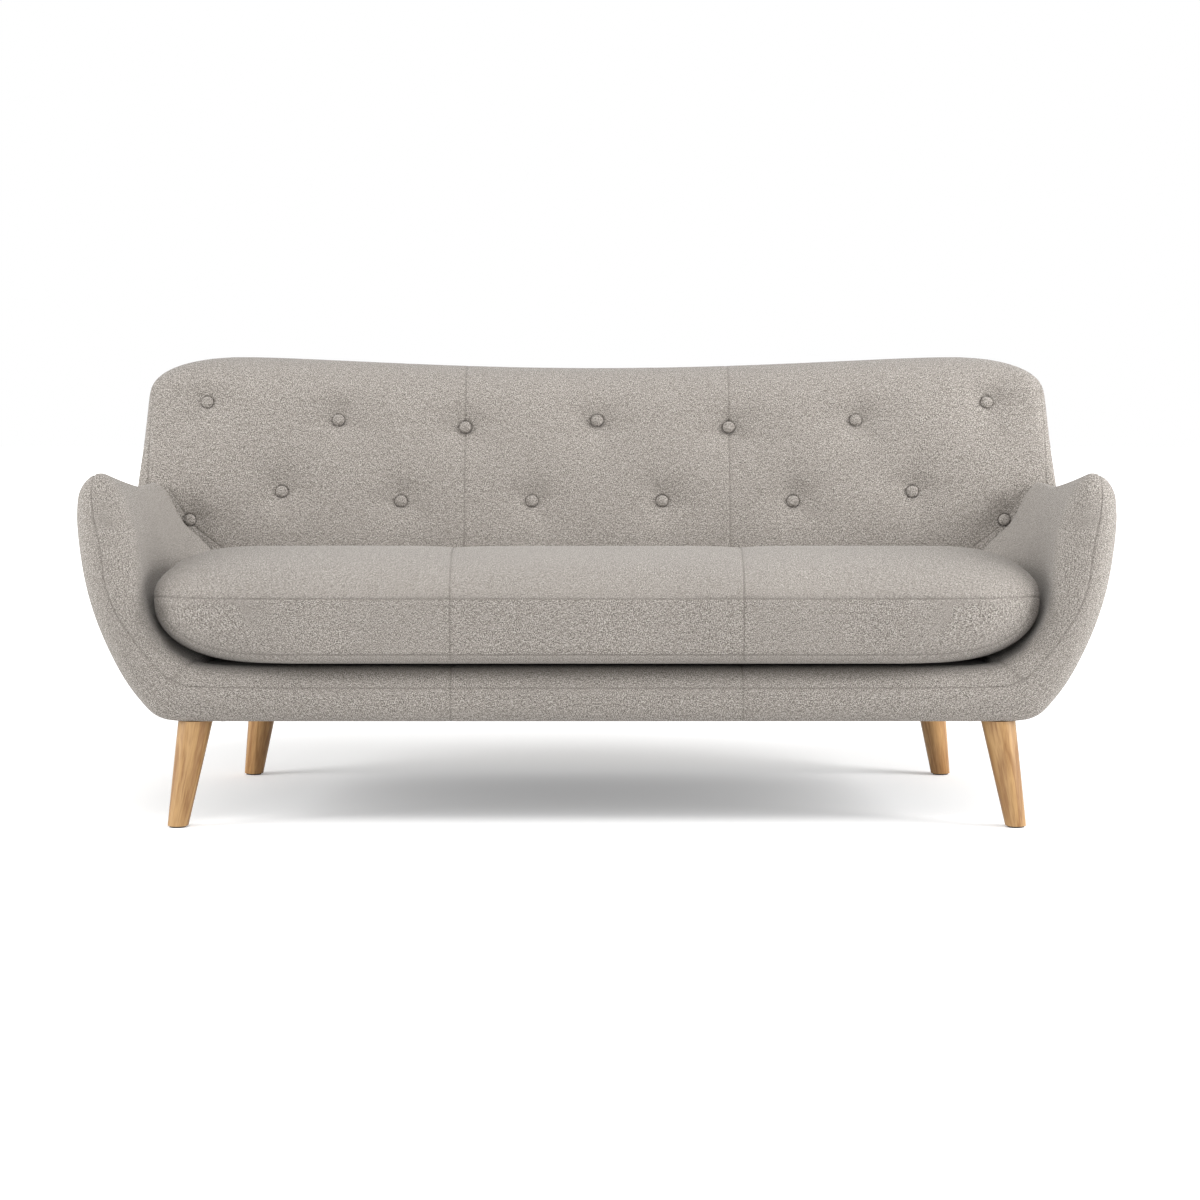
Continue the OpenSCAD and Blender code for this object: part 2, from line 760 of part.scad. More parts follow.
// The seat's rails, springs and deck reach back into this space under the back's front.
module seat_bay() {
    translate([0, 0, base_z - 10])
        linear_extrude(ledge_z - base_z + 10)
            polygon([
                for (s = [-1, 1], y = s < 0 ? [y_seat_back - 60, ledge_y] : [ledge_y, y_seat_back - 60])
                    [s * (side_rail_x(min(y, y_rail_1)) + clear), y]
            ]);
}

// Puts its children in a button's seat, with +Z pointing out of the back.
module at_button(b) {
    z = base_z + b[1];
    x = b[0];
    slope = (back_front_y(x, z + 5) - back_front_y(x, z - 5)) / 10;
    translate([x, back_front_y(x, z) + button_seat, z]) rotate([90 - atan(slope), 0, 0]) children();
}

module back_buttons() {
    dome = 5;
    color("#a39b92")
        for (b = buttons)
            at_button(b)
                rotate_extrude($fn = 48)
                    polygon([
                        [0, 0], [button_d / 2 - 1, 0], [button_d / 2, 1.5], [button_d / 2, 3],
                        for (a = [15 : 15 : 90]) [button_d / 2 * cos(a), 3 + dome * sin(a)]
                    ]);
}

// ---------------------------------------------------------------- seat

cushion_mid_z = deck_z + cushion_mid_h;
crown_z = deck_z + cushion_crown_h;
crown_y = y_nose + 235;
cushion_back_y = back_front_y(half_w - 220, deck_z) - cushion_gap;
end_len = 190;                             // length of the cushion's rounded end

function cushion_half_w(y) =
    let (
        side = [for (u = [mitre : 0.2 : core]) inner_at(u, y)],
        limit = lookup(cushion_mid_z - 12, [for (p = side) [p[1], p[0]]]),
        corner = 175 * (1 - nose(y - y_nose, 120, 2)) + 26 * (1 - nose(cushion_back_y - y, 40, 2))
    )
    limit - cushion_gap - corner;

function cushion_top(y) =
    y < crown_y
        ? mix(deck_z + band_high_h, crown_z, sqrt(max(0, 1 - pow((crown_y - y) / (crown_y - y_nose), 2))))
        : crown_z - 44 * pow((y - crown_y) / (cushion_back_y - crown_y), 1.6)
            - 34 * (1 - nose(cushion_back_y - y, 46, 2));
function cushion_bottom(y) =
    deck_z + band_low_h * (1 - nose(y - y_nose, 24, 2)) + 30 * (1 - nose(cushion_back_y - y, 30, 2));

function cushion_section(y) =
    let (
        w = cushion_half_w(y),
        zt = cushion_top(y),
        zb = cushion_bottom(y),
        zm = min(cushion_mid_z, mix(zb, zt, 0.9)),
        ends = [for (a = [0 : 12 : 84]) [w - end_len * (1 - pow(cos(a), 0.9)), pow(sin(a), 0.88)]],
        flats = [for (k = [1 : 7]) (w - end_len) * (1 - 2 * k / 8)],
        right = ends,
        upper = concat(
            [for (e = right) [e[0], zm + (zt - zm) * e[1]]],
            [[w - end_len, zt]], [for (x = flats) [x, zt]], [[-w + end_len, zt]],
            [for (k = [len(right) - 1 : -1 : 1]) [-right[k][0], zm + (zt - zm) * right[k][1]]]
        ),
        lower = concat(
            [[-w, zm]],
            [for (k = [1 : len(right) - 1]) [-right[k][0], zm - (zm - zb) * right[k][1]]],
            [[-w + end_len, zb]], [for (k = [6 : -1 : 0]) [flats[k], zb]], [[w - end_len, zb]],
            [for (k = [len(right) - 1 : -1 : 1]) [right[k][0], zm - (zm - zb) * right[k][1]]]
        )
    )
    [for (p = concat(upper, lower)) [p[0], y, p[1]]];

cushion_ys = concat(
    [for (s = [0, 2, 7, 15, 27, 44, 66, 92, 125]) y_nose + s],
    [for (k = [1 : 6]) mix(y_nose + 125, cushion_back_y - 46, k / 6)],
    [for (s = [30, 16, 6, 0]) cushion_back_y - s]
);

foam_in = 40;
foam_h = 120;

module foam_plan(grow = 0) {
    x0 = cushion_half_w(y_nose + 150) - 150 + grow;
    x1 = cushion_half_w(cushion_back_y - 60) - 150 + grow;
    y0 = y_nose + foam_in - grow;
    y1 = cushion_back_y - foam_in + grow;
    polygon([[-x0, y0], [x0, y0], [x1, y1], [-x1, y1]]);
}

module seat_foam_core() {
    color("#e8e0c8") translate([0, 0, deck_z + 14]) linear_extrude(foam_h) foam_plan();
}

module seat_cushion() {
    color("#b5ada4")
        difference() {
            loft([for (y = cushion_ys) cushion_section(y)]);
            translate([0, 0, deck_z + 14 - clear]) linear_extrude(foam_h + 2 * clear) foam_plan(clear);
        }
}

// ---------------------------------------------------------------- springs and deck

spring_span = y_rail_1 - y_rail_0;
spring_half = 24;                          // half the width of a spring's zigzag
spring_turns = 12;
spring_z = rail_top + spring_wire / 2;

// One sinuous spring: straight bars joined by half turns, laid from front to rear rail.
module sinuous_spring() {
    pitch = (spring_span + 20) / spring_turns;
    r = pitch / 2;
    bar = spring_half - r / 2;
    for (k = [0 : spring_turns])
        translate([0, y_rail_0 - 10 + k * pitch, 0])
            rotate([0, 90, 0])
                cylinder(d = spring_wire, h = 2 * bar, center = true, $fn = 16);
    for (k = [0 : spring_turns - 1]) {
        side = k % 2 == 0 ? 1 : -1;
        translate([side * bar, y_rail_0 - 10 + (k + 0.5) * pitch, 0])
            rotate([0, 0, side > 0 ? -90 : 90])
                rotate_extrude(angle = 180, $fn = 32) translate([r, 0]) circle(d = spring_wire, $fn = 16);
    }
}

function spring_x(k) = mix(-1, 1, k / (spring_count - 1)) * (side_rail_x(y_rail_1) - timber_t - 46);

module seat_springs() {
    color("#74777a")
        for (k = [0 : spring_count - 1]) translate([spring_x(k), 0, spring_z]) sinuous_spring();
}

module spring_clips() {
    w = 34;
    t = 1.6;
    gap = spring_wire / 2 + 0.2;
    color("#5d6063")
        for (k = [0 : spring_count - 1], y = [y_rail_0 - 10, y_rail_1 + 10])
            translate([spring_x(k) - w / 2, y, spring_z])
                rotate([90, 0, 90])
                    linear_extrude(w)
                        difference() {
                            translate([-gap - t, -spring_wire / 2]) square([2 * (gap + t), clip_h]);
                            translate([-gap, -spring_wire]) square([2 * gap, spring_wire + gap + 1.2]);
                        }
}

deck_pad_z = rail_top + clip_h;             // the pad lies on the spring clips

module seat_deck_pad() {
    y0 = roll_back_y + clear;
    y1 = ledge_y - 12;
    x0 = side_rail_x(y0) - timber_t - clear;
    x1 = side_rail_x(y1) - timber_t - clear;
    color("#4b4a48")
        translate([0, 0, deck_pad_z])
            linear_extrude(deck_z - clear - deck_pad_z)
                polygon([[-x0, y0], [x0, y0], [x1, y1], [-x1, y1]]);
}

module dust_cover() {
    x0 = side_rail_x(y_rail_0) - 2;
    x1 = post_x + timber_t - 1;
    y2 = outside_y(base_z) - outside_t - 1;
    color("#26262a")
        translate([0, 0, rail_z - 1.2])
            linear_extrude(1.2)
                difference() {
                    polygon([
                        [-x0, y_rail_0 - timber_t + 2], [x0, y_rail_0 - timber_t + 2],
                        [x1, y_rail_1], [x1, y2], [-x1, y2], [-x1, y_rail_1]
                    ]);
                    for (side = [-1, 1], end = [-1, 1])
                        translate([side * plate_x(end), plate_y(end)]) square(plate_w + 2, center = true);
                }
}

// ---------------------------------------------------------------- assembly

front_rail();
rear_rail();
mirrored(-1) side_rail();  // side_rail_left
side_rail();  // side_rail_right
mirrored(-1) cross_rail();  // cross_rail_left
cross_rail();  // cross_rail_right
corner_blocks();
mirrored(-1) back_post();  // back_post_left
back_post();  // back_post_right
back_mid_posts();
back_top_rail();
back_lumbar_rail();
mirrored(-1) back_wing();  // back_wing_left
back_wing();  // back_wing_right
back_webbing();
mirrored(-1) arm_frame();  // arm_frame_left
arm_frame();  // arm_frame_right
seat_springs();
spring_clips();
seat_deck_pad();
front_roll();
mirrored(-1) arm();  // arm_left
arm();  // arm_right
mirrored(-1) side_pad();  // side_pad_left
side_pad();  // side_pad_right
back_cushion();
outside_back();
dust_cover();
back_buttons();
seat_cushion();
seat_foam_core();
mirrored(-1) leg(1);  // leg_front_left
leg(1);  // leg_front_right
mirrored(-1) leg(-1);  // leg_rear_left
leg(-1);  // leg_rear_right
leg_plates();
plate_screws();
leg_bolts();
foot_glides();
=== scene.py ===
import math

import bmesh
import bpy
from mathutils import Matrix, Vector, noise


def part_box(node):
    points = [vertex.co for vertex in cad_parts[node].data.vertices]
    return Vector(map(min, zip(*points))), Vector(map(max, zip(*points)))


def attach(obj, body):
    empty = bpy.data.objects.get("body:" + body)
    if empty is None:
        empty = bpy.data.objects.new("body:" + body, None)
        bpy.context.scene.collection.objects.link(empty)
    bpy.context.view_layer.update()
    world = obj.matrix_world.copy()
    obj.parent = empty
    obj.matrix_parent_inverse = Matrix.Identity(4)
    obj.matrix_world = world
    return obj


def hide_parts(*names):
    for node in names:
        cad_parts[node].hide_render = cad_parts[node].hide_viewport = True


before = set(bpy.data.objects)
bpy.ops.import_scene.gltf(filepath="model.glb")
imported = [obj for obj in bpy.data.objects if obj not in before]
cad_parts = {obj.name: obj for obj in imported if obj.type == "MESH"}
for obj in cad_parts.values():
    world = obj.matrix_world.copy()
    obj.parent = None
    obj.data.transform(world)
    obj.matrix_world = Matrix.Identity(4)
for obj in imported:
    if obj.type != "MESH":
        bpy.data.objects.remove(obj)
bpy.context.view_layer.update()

scene = bpy.context.scene

# ------------------------------------------------------------------ camera
# Someone looks at the sofa from a few steps in front of it, with their eyes a little above
# its back and the view tipped slightly down.

camera = bpy.data.objects.new("camera", bpy.data.cameras.new("camera"))
camera.data.lens = 89.91
camera.location = (0.0057, -5.680, 0.929)
camera.rotation_euler = (math.radians(90 - 5.61), 0, 0)
scene.collection.objects.link(camera)
scene.camera = camera
scene.view_settings.view_transform = "Standard"

# ------------------------------------------------------------------ arms and front roll
# One padded cover wraps the seat's front roll and both arms: a border panel outside, the
# facing and inner panels inside, with plain seams between. Foam over a timber and ply frame.

half_width = 0.932
body_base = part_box("front_roll")[0][2]       # underside of the upholstered body
body_front = -0.392                          # front of the roll
roll_back = -0.316
back_line = 0.155                            # the back's face at seat level, before its rake
arm_end = back_line + 0.015                  # the arms' section here is the back's outline
arm_tip, arm_low = 0.4425, 0.398             # the arm's ridge over the underside, front and rear
roll_rise = 0.094                            # top of the roll over the underside
level_rise = 0.3                             # up to here the arm is as high in the rear as in front

# Inset from the widest point and rise above the underside, from the roll out to the ridge.
outer_line = [
    (0.430, 0), (0.300, 0), (0.197, 0), (0.147, 0.007), (0.115, 0.034), (0.083, 0.078),
    (0.048, 0.150), (0.023, 0.222), (0.007, 0.300), (0, 0.375), (0.010, 0.420), (0.044, arm_tip),
]
inner_line = [
    (0.430, 0.094), (0.340, 0.094), (0.292, 0.094), (0.245, 0.096), (0.208, 0.104),
    (0.162, 0.132), (0.132, 0.172), (0.119, 0.216), (0.114, 0.266), (0.108, 0.325),
    (0.081, 0.412), (0.044, arm_tip),
]
inner_line_rear = [
    (0.490, 0.094), (0.400, 0.094), (0.352, 0.094), (0.312, 0.096), (0.280, 0.106),
    (0.262, 0.136), (0.245, 0.178), (0.226, 0.220), (0.196, 0.264), (0.130, 0.318),
    (0.096, 0.376), (0.067, arm_low),
]
mitre, ridge_core, ridge = 4, 9, 11          # stations on the lines


def mix(a, b, t):
    return a + (b - a) * t


def clamp(x, low, high):
    return min(high, max(low, x))


def ease(t):
    t = clamp(t, 0, 1)
    return t * t * (3 - 2 * t)


def soft_step(s, r):
    return (s + math.hypot(s, r)) / 2


def nose(s, r, power):
    """Share of full thickness at distance s behind a rounded edge of depth r."""
    return 1.0 if s >= r else (1 - (1 - max(s, 0) / r) ** power) ** (1 / power)


def narrowed(point):
    """The outer line's point at the rear end of the body, which is narrower and lower."""
    inset, rise = point
    low = rise
    if rise > level_rise:
        low = mix(level_rise, arm_low, (rise - level_rise) / (arm_tip - level_rise))
    return inset + 0.060 * (1 - 0.55 * rise / arm_tip), low


outer_line_rear = [narrowed(p) for p in outer_line]


def on_line(points, u):
    """Smooth line through the points, u counted in spans. It arrives level at its last point."""
    last = len(points) - 1
    i = min(int(clamp(u, 0, last)), last - 1)
    t = clamp(u, 0, last) - i
    b, c = Vector(points[i]), Vector(points[i + 1])
    a = 2 * b - c if i == 0 else Vector(points[i - 1])
    d = Vector((2 * c.x - b.x, b.y)) if i == last - 1 else Vector(points[i + 2])
    return 0.5 * (2 * b + (c - a) * t + (2 * a - 5 * b + 4 * c - d) * t * t
                  + (3 * b - a - 3 * c + d) * t ** 3)


def along(y):
    """Share of the way from the arms' front to the back's face, and a little past it."""
    start, length = -0.330, 0.500
    return clamp((y - start) / length, 0, 1.15)


def body_line(front, rear, u, y, sweep):
    """Between the front and the rear line. The heights fall early, the widths by the sweep."""
    fall_end, fall_share, fall_curve = 0.7, 1.05, 1.15
    p = on_line(front, u)
    q = on_line(rear, u)
    t = along(y) ** sweep
    fall = fall_share * (1 - (1 - min(along(y) / fall_end, 1)) ** fall_curve)
    return Vector((half_width - mix(p.x, q.x, t), body_base + max(0, mix(p.y, q.y, fall))))


def outer_at(u, y):
    return body_line(outer_line, outer_line_rear, u, y, 1)


def inner_at(u, y):
    sweep = mix(1, 2.2, ease((u - mitre) / 2) * ease((ridge_core + 1 - u) / 2))
    return body_line(inner_line, inner_line_rear, u, y, sweep)


def core_at(u, y):
    u = min(u, ridge_core)
    return (outer_at(u, y) + inner_at(u, y)) / 2


def arm_front(z):
    """The arm's front leans back towards its tip."""
    lean, lean_height = 0.047, 0.347
    return body_front + lean * clamp((z - body_base - roll_rise) / lean_height, 0, 1) ** 2


def back_face(x, z):
    """The back's front face before it is tufted: raked above the lumbar line, wrapped at its ends."""
    rake, lumbar_rise, wrap = 0.37, 0.260, 0.028
    return (back_line + rake * soft_step(z - body_base - lumbar_rise, 0.070) - 0.008
            - wrap * (x / half_width) ** 2)


def cover_point(u, depth, outside):
    """Point of the cover: u from the middle out to the ridge, depth behind the front edge."""
    reach = 1 + min(u, 0)                    # below 0 the roll runs straight to the middle
    u = max(u, 0)
    y = arm_front(core_at(u, body_front).y) + depth
    core = core_at(u, y)
    edge = outer_at(u, y) if outside else inner_at(u, y)
    rounding = mix(0.018, 0.052, ease((u - 1.6) / 3.4)) if outside else 0.046
    p = core + (edge - core) * nose(depth, rounding, 2.4)
    return Vector((p.x * reach, y, p.y))


def bent_grid(bm, columns, rows, place):
    """Adds a grid, bent so that each point comes to place(column, row). Its map is in metres."""
    verts = bmesh.ops.create_grid(bm, x_segments=columns, y_segments=rows, size=0.5)["verts"]
    at = {}
    for v in verts:
        key = (round((v.co.x + 0.5) * columns), round((v.co.y + 0.5) * rows))
        v.co = place(*key)
        at[key] = v
    u_at, v_at = [0.0], [0.0]
    for i in range(columns):
        steps = [(at[i + 1, j].co - at[i, j].co).length for j in range(rows + 1)]
        u_at.append(u_at[-1] + sum(steps) / len(steps))
    for j in range(rows):
        steps = [(at[i, j + 1].co - at[i, j].co).length for i in range(columns + 1)]
        v_at.append(v_at[-1] + sum(steps) / len(steps))
    weave = bm.loops.layers.uv.get("weave") or bm.loops.layers.uv.new("weave")
    for (i, j), vert in at.items():
        for loop in vert.link_loops:
            loop[weave].uv = (u_at[i], v_at[j])


def new_piece(name, bm):
    mesh = bpy.data.meshes.new(name)
    bm.to_mesh(mesh)
    bm.free()
    for face in mesh.polygons:
        face.use_smooth = True
    piece = bpy.data.objects.new(name, mesh)
    scene.collection.objects.link(piece)
    return piece


swell_frames = 14


def swell(piece, held, pressure, travel):
    """The stuffing fills the cover out by up to travel, except where the cover is held."""
    rest = [v.co.copy() for v in piece.data.vertices]
    group = piece.vertex_groups.new(name="held")
    group.add([i for i, co in enumerate(rest) if held(co)], 1.0, "REPLACE")
    cloth = piece.modifiers.new("swell", "CLOTH")
    for name, value in (
        ("quality", 4), ("mass", 0.35), ("tension_stiffness", 22), ("compression_stiffness", 22),
        ("bending_stiffness", 2.5), ("use_pressure", True), ("uniform_pressure_force", pressure),
        ("vertex_group_mass", "held"),
    ):
        setattr(cloth.settings, name, value)
    cloth.settings.effector_weights.gravity = 0
    cloth.collision_settings.use_collision = False
    cloth.collision_settings.use_self_collision = False
    cloth.point_cache.frame_start = 1
    cloth.point_cache.frame_end = swell_frames
    for step in range(1, swell_frames + 1):
        scene.frame_set(step)
    swollen = piece.evaluated_get(bpy.context.evaluated_depsgraph_get()).to_mesh()
    moves = [v.co - rest[i] for i, v in enumerate(swollen.vertices)]
    piece.modifiers.remove(cloth)
    piece.vertex_groups.clear()
    for i, move in enumerate(moves):
        if move.length > 1e-7:
            move = move * (travel * math.tanh(move.length / travel) / move.length)
        piece.data.vertices[i].co = rest[i] + move
    scene.frame_set(1)


def cut_along(bm, value, level):
    """Cuts a line of edges where value, known at each vertex or None, passes level."""
    snap = 0.14
    value = {v: f - level for v, f in value.items() if f is not None}
    line = set()
    for edge in bm.edges:                    # a vertex close to the line moves onto it
        a, b = edge.verts
        if a in value and b in value and value[a] * value[b] < 0:
            t = value[a] / (value[a] - value[b])
            close = a if t < snap else b if t > 1 - snap else None
            if close:
                close.co = a.co.lerp(b.co, t)
                value[close] = 0
                line.add(close)
    for edge in list(bm.edges):
        a, b = edge.verts
        if a in value and b in value and value[a] * value[b] < 0:
            t = value[a] / (value[a] - value[b])
            line.add(bmesh.utils.edge_split(edge, a, t)[1])
    bmesh.ops.connect_verts(bm, verts=list(line))


seam_width, seam_depth = 0.0024, 0.0015
seam_reach = 0.05                            # a seam changes no cloth beyond this


def sew(bm, field):
    """Sinks a seam where field(vertex) is 0, puckers the cloth beside it a little, and marks the
    groove for painted shade.
    """
    seam_shade_mark = bm.verts.layers.float.get("seam_shade_mark") or bm.verts.layers.float.new("seam_shade_mark")
    for level in (-1, 0, 1):
        bm.normal_update()
        cut_along(bm, {v: field(v) for v in bm.verts}, level * seam_width)
    bm.normal_update()
    moves = {}
    for v in bm.verts:
        d = field(v)
        if d is None:
            continue
        sink = seam_depth * math.exp(-(d / (0.45 * seam_width)) ** 2)
        pucker = 0.0005 * noise.noise(v.co * 75) * math.exp(-(d / 0.012) ** 2)
        moves[v] = v.normal * (pucker - sink)
        # The mark is 1 down the groove's middle; there the cloth's colour is darkened as painted
        # shade.
        v[seam_shade_mark] = max(v[seam_shade_mark], math.exp(-(d / (0.5 * seam_width)) ** 2))
    for v, move in moves.items():
        v.co += move


def sew_all(piece, *fields, then=None):
    """Sews the seams into the piece one by one, then does one more job on its mesh."""
    bm = bmesh.new()
    bm.from_mesh(piece.data)
    for field in fields:
        sew(bm, field)
    if then:
        then(bm)
    bm.to_mesh(piece.data)
    bm.free()


def folded(co):
    """The same place on the half where x is above 0."""
    return abs(co.x), co.y, co.z


def near(off):
    """A distance from a seam, or None beyond the seam's reach."""
    return off if abs(off) < seam_reach else None


def line_distance(p, line):
    """Distance from a line of points, more than 0 on its left."""
    best = signed = math.inf
    for a, b in zip(line, line[1:]):
        run = b - a
        t = clamp((p - a).dot(run) / run.length_squared, 0, 1)
        off = p - (a + run * t)
        if off.length < best:
            best, signed = off.length, math.copysign(off.length, run.cross(off))
    return signed


def line_x(line, z):
    """The x at height z of a line of points that rises at least that far."""
    for a, b in zip(line, line[1:]):
        if z <= b.y:
            return mix(a.x, b.x, clamp((z - a.y) / max(b.y - a.y, 1e-6), 0, 1))


def tidy_shell(bm):
    """Joins the grids of a shell where they meet."""
    weld = 0.0002
    bmesh.ops.remove_doubles(bm, verts=bm.verts, dist=weld)
    bmesh.ops.dissolve_degenerate(bm, edges=bm.edges, dist=weld / 2)


def face_outwards(bm):
    bmesh.ops.recalc_face_normals(bm, faces=bm.faces)


def close_ends(bm):
    """Closes the hidden openings of a cover and turns its faces outwards."""
    open_edges = [e for e in bm.edges if e.is_boundary]
    ends = bmesh.ops.holes_fill(bm, edges=open_edges, sides=0)["faces"]
    bmesh.ops.triangulate(bm, faces=ends)
    face_outwards(bm)


def side_rail_face(y):
    """Outer face of the side rail, which comes closer to the middle towards the rear."""
    front_half, taper, front_end = 0.742, 0.12, -0.338
    return front_half - taper * (y - front_end)


middle_columns = 42                          # of the roll's straight middle, on each side
span_columns = [11, 9, 5, 4, 5, 7, 7, 7, 7, 5, 5]
us = [-1 + k / middle_columns for k in range(middle_columns)]
for span, count in enumerate(span_columns):
    us += [span + k / count for k in range(count)]
us += [ridge]
low_start = us.index(2.2)                    # behind the roll only the sides and arms go on
mitre_at = us.index(float(mitre))

bm = bmesh.new()
round_path = [(u, True) for u in us] + [(u, False) for u in reversed(us[:-1])]
front_shares = [0, 0.004, 0.02, 0.05, 0.1, 0.17, 0.25, 0.34, 0.44, 0.55, 0.66, 0.77, 0.88, 1]


def front_place(i, j):
    u, outside = round_path[i]
    start = arm_front(core_at(max(u, 0), body_front).y)
    return cover_point(u, front_shares[j] * (roll_back - start), outside)


bent_grid(bm, len(round_path) - 1, len(front_shares) - 1, front_place)

arm_path = [(u, True) for u in us[low_start:]] + [(u, False) for u in reversed(us[mitre_at:-1])]
inside_path = [(0, 0.286), (0, 0.2625), (1, 0.2625), (1, 0.191)]   # round the side rail
rear_rows = 38


def rear_place(i, j):
    share = j / rear_rows
    if len(arm_path) <= i < len(arm_path) + len(inside_path):
        inside, z = inside_path[i - len(arm_path)]
        y = mix(roll_back, back_face(0.7, z) - 0.001, share)
        return Vector((side_rail_face(y) - 0.028 * (1 - inside), y, z))
    u, outside = arm_path[i] if i < len(arm_path) else arm_path[0]
    rear_end = (outer_at if outside else inner_at)(u, arm_end)
    start = arm_front(core_at(u, body_front).y)
    length = back_face(rear_end.x, rear_end.y) - 0.0008 - start
    depth = mix(roll_back - start, length, share)
    p = cover_point(u, depth, outside)
    core = core_at(u, p.y)
    inward = Vector((core.x - p.x, 0, core.y - p.z)).normalized()
    return p + inward * 0.005 * (1 - nose(length - depth, 0.012, 2))


bent_grid(bm, len(arm_path) + len(inside_path), rear_rows, rear_place)
tidy_shell(bm)
bmesh.ops.mirror(bm, geom=bm.verts[:] + bm.edges[:] + bm.faces[:], axis="X", merge_dist=0.0003)
close_ends(bm)

# The border seam as seen from the front, from the arm's ridge down and along the roll.
border_seam = [
    (0.899, 0.650), (0.899, 0.618), (0.898, 0.585), (0.893, 0.547), (0.882, 0.499), (0.873, 0.435),
    (0.857, 0.391), (0.842, 0.366), (0.812, 0.322), (0.786, 0.291), (0.765, 0.272), (0.740, 0.259),
    (0.706, 0.254), (0.529, 0.252), (-0.10, 0.252),
]
border_seam = [on_line(border_seam, k / 4) for k in range(4 * len(border_seam) - 3)]
seam_x = 0.2603                              # the seams that divide the roll, seat and back
front_depth = 0.034                          # the arm's rounded front, which has the border seam
ridge_seam_out = 0.011


def border_field(v):
    x, y, z = folded(v.co)
    if y > arm_front(z) + front_depth or v.normal.y > 0.05:
        return None
    return near(-line_distance(Vector((x, z)), border_seam))


def ridge_field(v):
    """The seam goes on beside the arm's ridge, just outside it, to the back."""
    x, y, z = folded(v.co)
    line = outer_at(ridge, y)
    if y < arm_front(0.63) + 0.012 or z < line.y - 0.035:
        return None
    return near(x - line.x - ridge_seam_out)


def rear_edge_field(v):
    """The inner panel is sewn to a strip that is tucked in along the back."""
    x, y, z = folded(v.co)
    if x > outer_at(ridge, y).x + 0.004 or z < body_base + 0.14:
        return None
    return near(y - back_face(x, z) + 0.0075)


def mitre_field(v):
    """The short slanting seam across the roll's inner corner."""
    x, y, z = folded(v.co)
    if not (0.715 < x < 0.778 and y < roll_back + 0.01 and z > 0.266):
        return None
    return ((x - 0.817) * 0.070 + (z - 0.224) * 0.093) / 0.1164


def roll_seam_field(v):
    return None if v.co.y > roll_back - 0.006 else near(abs(v.co.x) - seam_x)


def tub_held(co):
    """Held where it is sewn or stapled, and along the arm's ridge."""
    x, y, z = folded(co)
    if y > back_face(x, z) - 0.03 or z < body_base + 0.004 or (x < 0.76 and y > roll_back - 0.004):
        return True
    if y < arm_front(z) + front_depth:
        at_seam = min((Vector((x, z)) - p).length for p in border_seam) < 0.007
        return at_seam or abs(x - seam_x) < 0.007
    return (Vector((x, z)) - outer_at(ridge, y)).length < 0.030


tub_cover = new_piece("tub_cover", bm)
swell(tub_cover, tub_held, pressure=2, travel=0.0025)
sew_all(tub_cover, border_field, ridge_field, mitre_field, roll_seam_field, rear_edge_field)


def one_subdivision(piece):
    smooth = piece.modifiers.new("smooth", "SUBSURF")
    smooth.levels = 1
    smooth.render_levels = 1
    smooth.use_limit_surface = False


one_subdivision(tub_cover)


def feed(tree, socket, value):
    """Sets an input, or links it where the value is another node's output."""
    if isinstance(value, bpy.types.NodeSocket):
        tree.links.new(value, socket)
    else:
        socket.default_value = value


def node(tree, kind, *inputs, **values):
    """A shader node: its first inputs in their order, then inputs and settings by name."""
    made = tree.nodes.new("ShaderNode" + kind)
    settings = {name: value for name, value in values.items() if name not in made.inputs}
    for name, value in settings.items():
        setattr(made, name, value)
    for place, value in [*enumerate(inputs), *values.items()]:
        if place not in settings:
            feed(tree, made.inputs[place], value)
    return made


def signal(tree, kind, *inputs, **values):
    """The first output of a new node."""
    return node(tree, kind, *inputs, **values).outputs[0]


def ramp(tree, source, *stops):
    """The source's colours on a ramp of (place, grey or colour) stops."""
    made = node(tree, "ValToRGB", source)
    colours = made.color_ramp.elements
    while len(colours) < len(stops):
        colours.new(1)
    for element, (place, value) in zip(colours, stops):
        element.position = place
        element.color = (value, value, value, 1) if isinstance(value, float) else (*value, 1)
    return made.outputs[0]


def blend_colours(tree, mode, factor, a, b):
    made = node(tree, "Mix", data_type="RGBA", blend_type=mode)
    for place, value in ((0, factor), (6, a), (7, b)):
        feed(tree, made.inputs[place], value)
    return made.outputs[2]


def object_place(tree):
    return node(tree, "TexCoord").outputs["Object"]


def dress(tree, shader, colour, relief=None, strength=0.0, distance=0.0):
    """Gives the shader its colour, and fine relief if there is any."""
    tree.links.new(colour, shader.inputs["Base Color"])
    if relief:
        bump = signal(tree, "Bump", Strength=strength, Distance=distance, Height=relief)
        tree.links.new(bump, shader.inputs["Normal"])


def plain_material(name, roughness, **others):
    """A new material. The shader's other inputs are named with _ for each space."""
    made = bpy.data.materials.new(name)
    made.use_nodes = True
    shader = made.node_tree.nodes["Principled BSDF"]
    shader.inputs["Roughness"].default_value = roughness
    for socket, value in others.items():
        shader.inputs[socket.replace("_", " ")].default_value = value
    return made, made.node_tree, shader


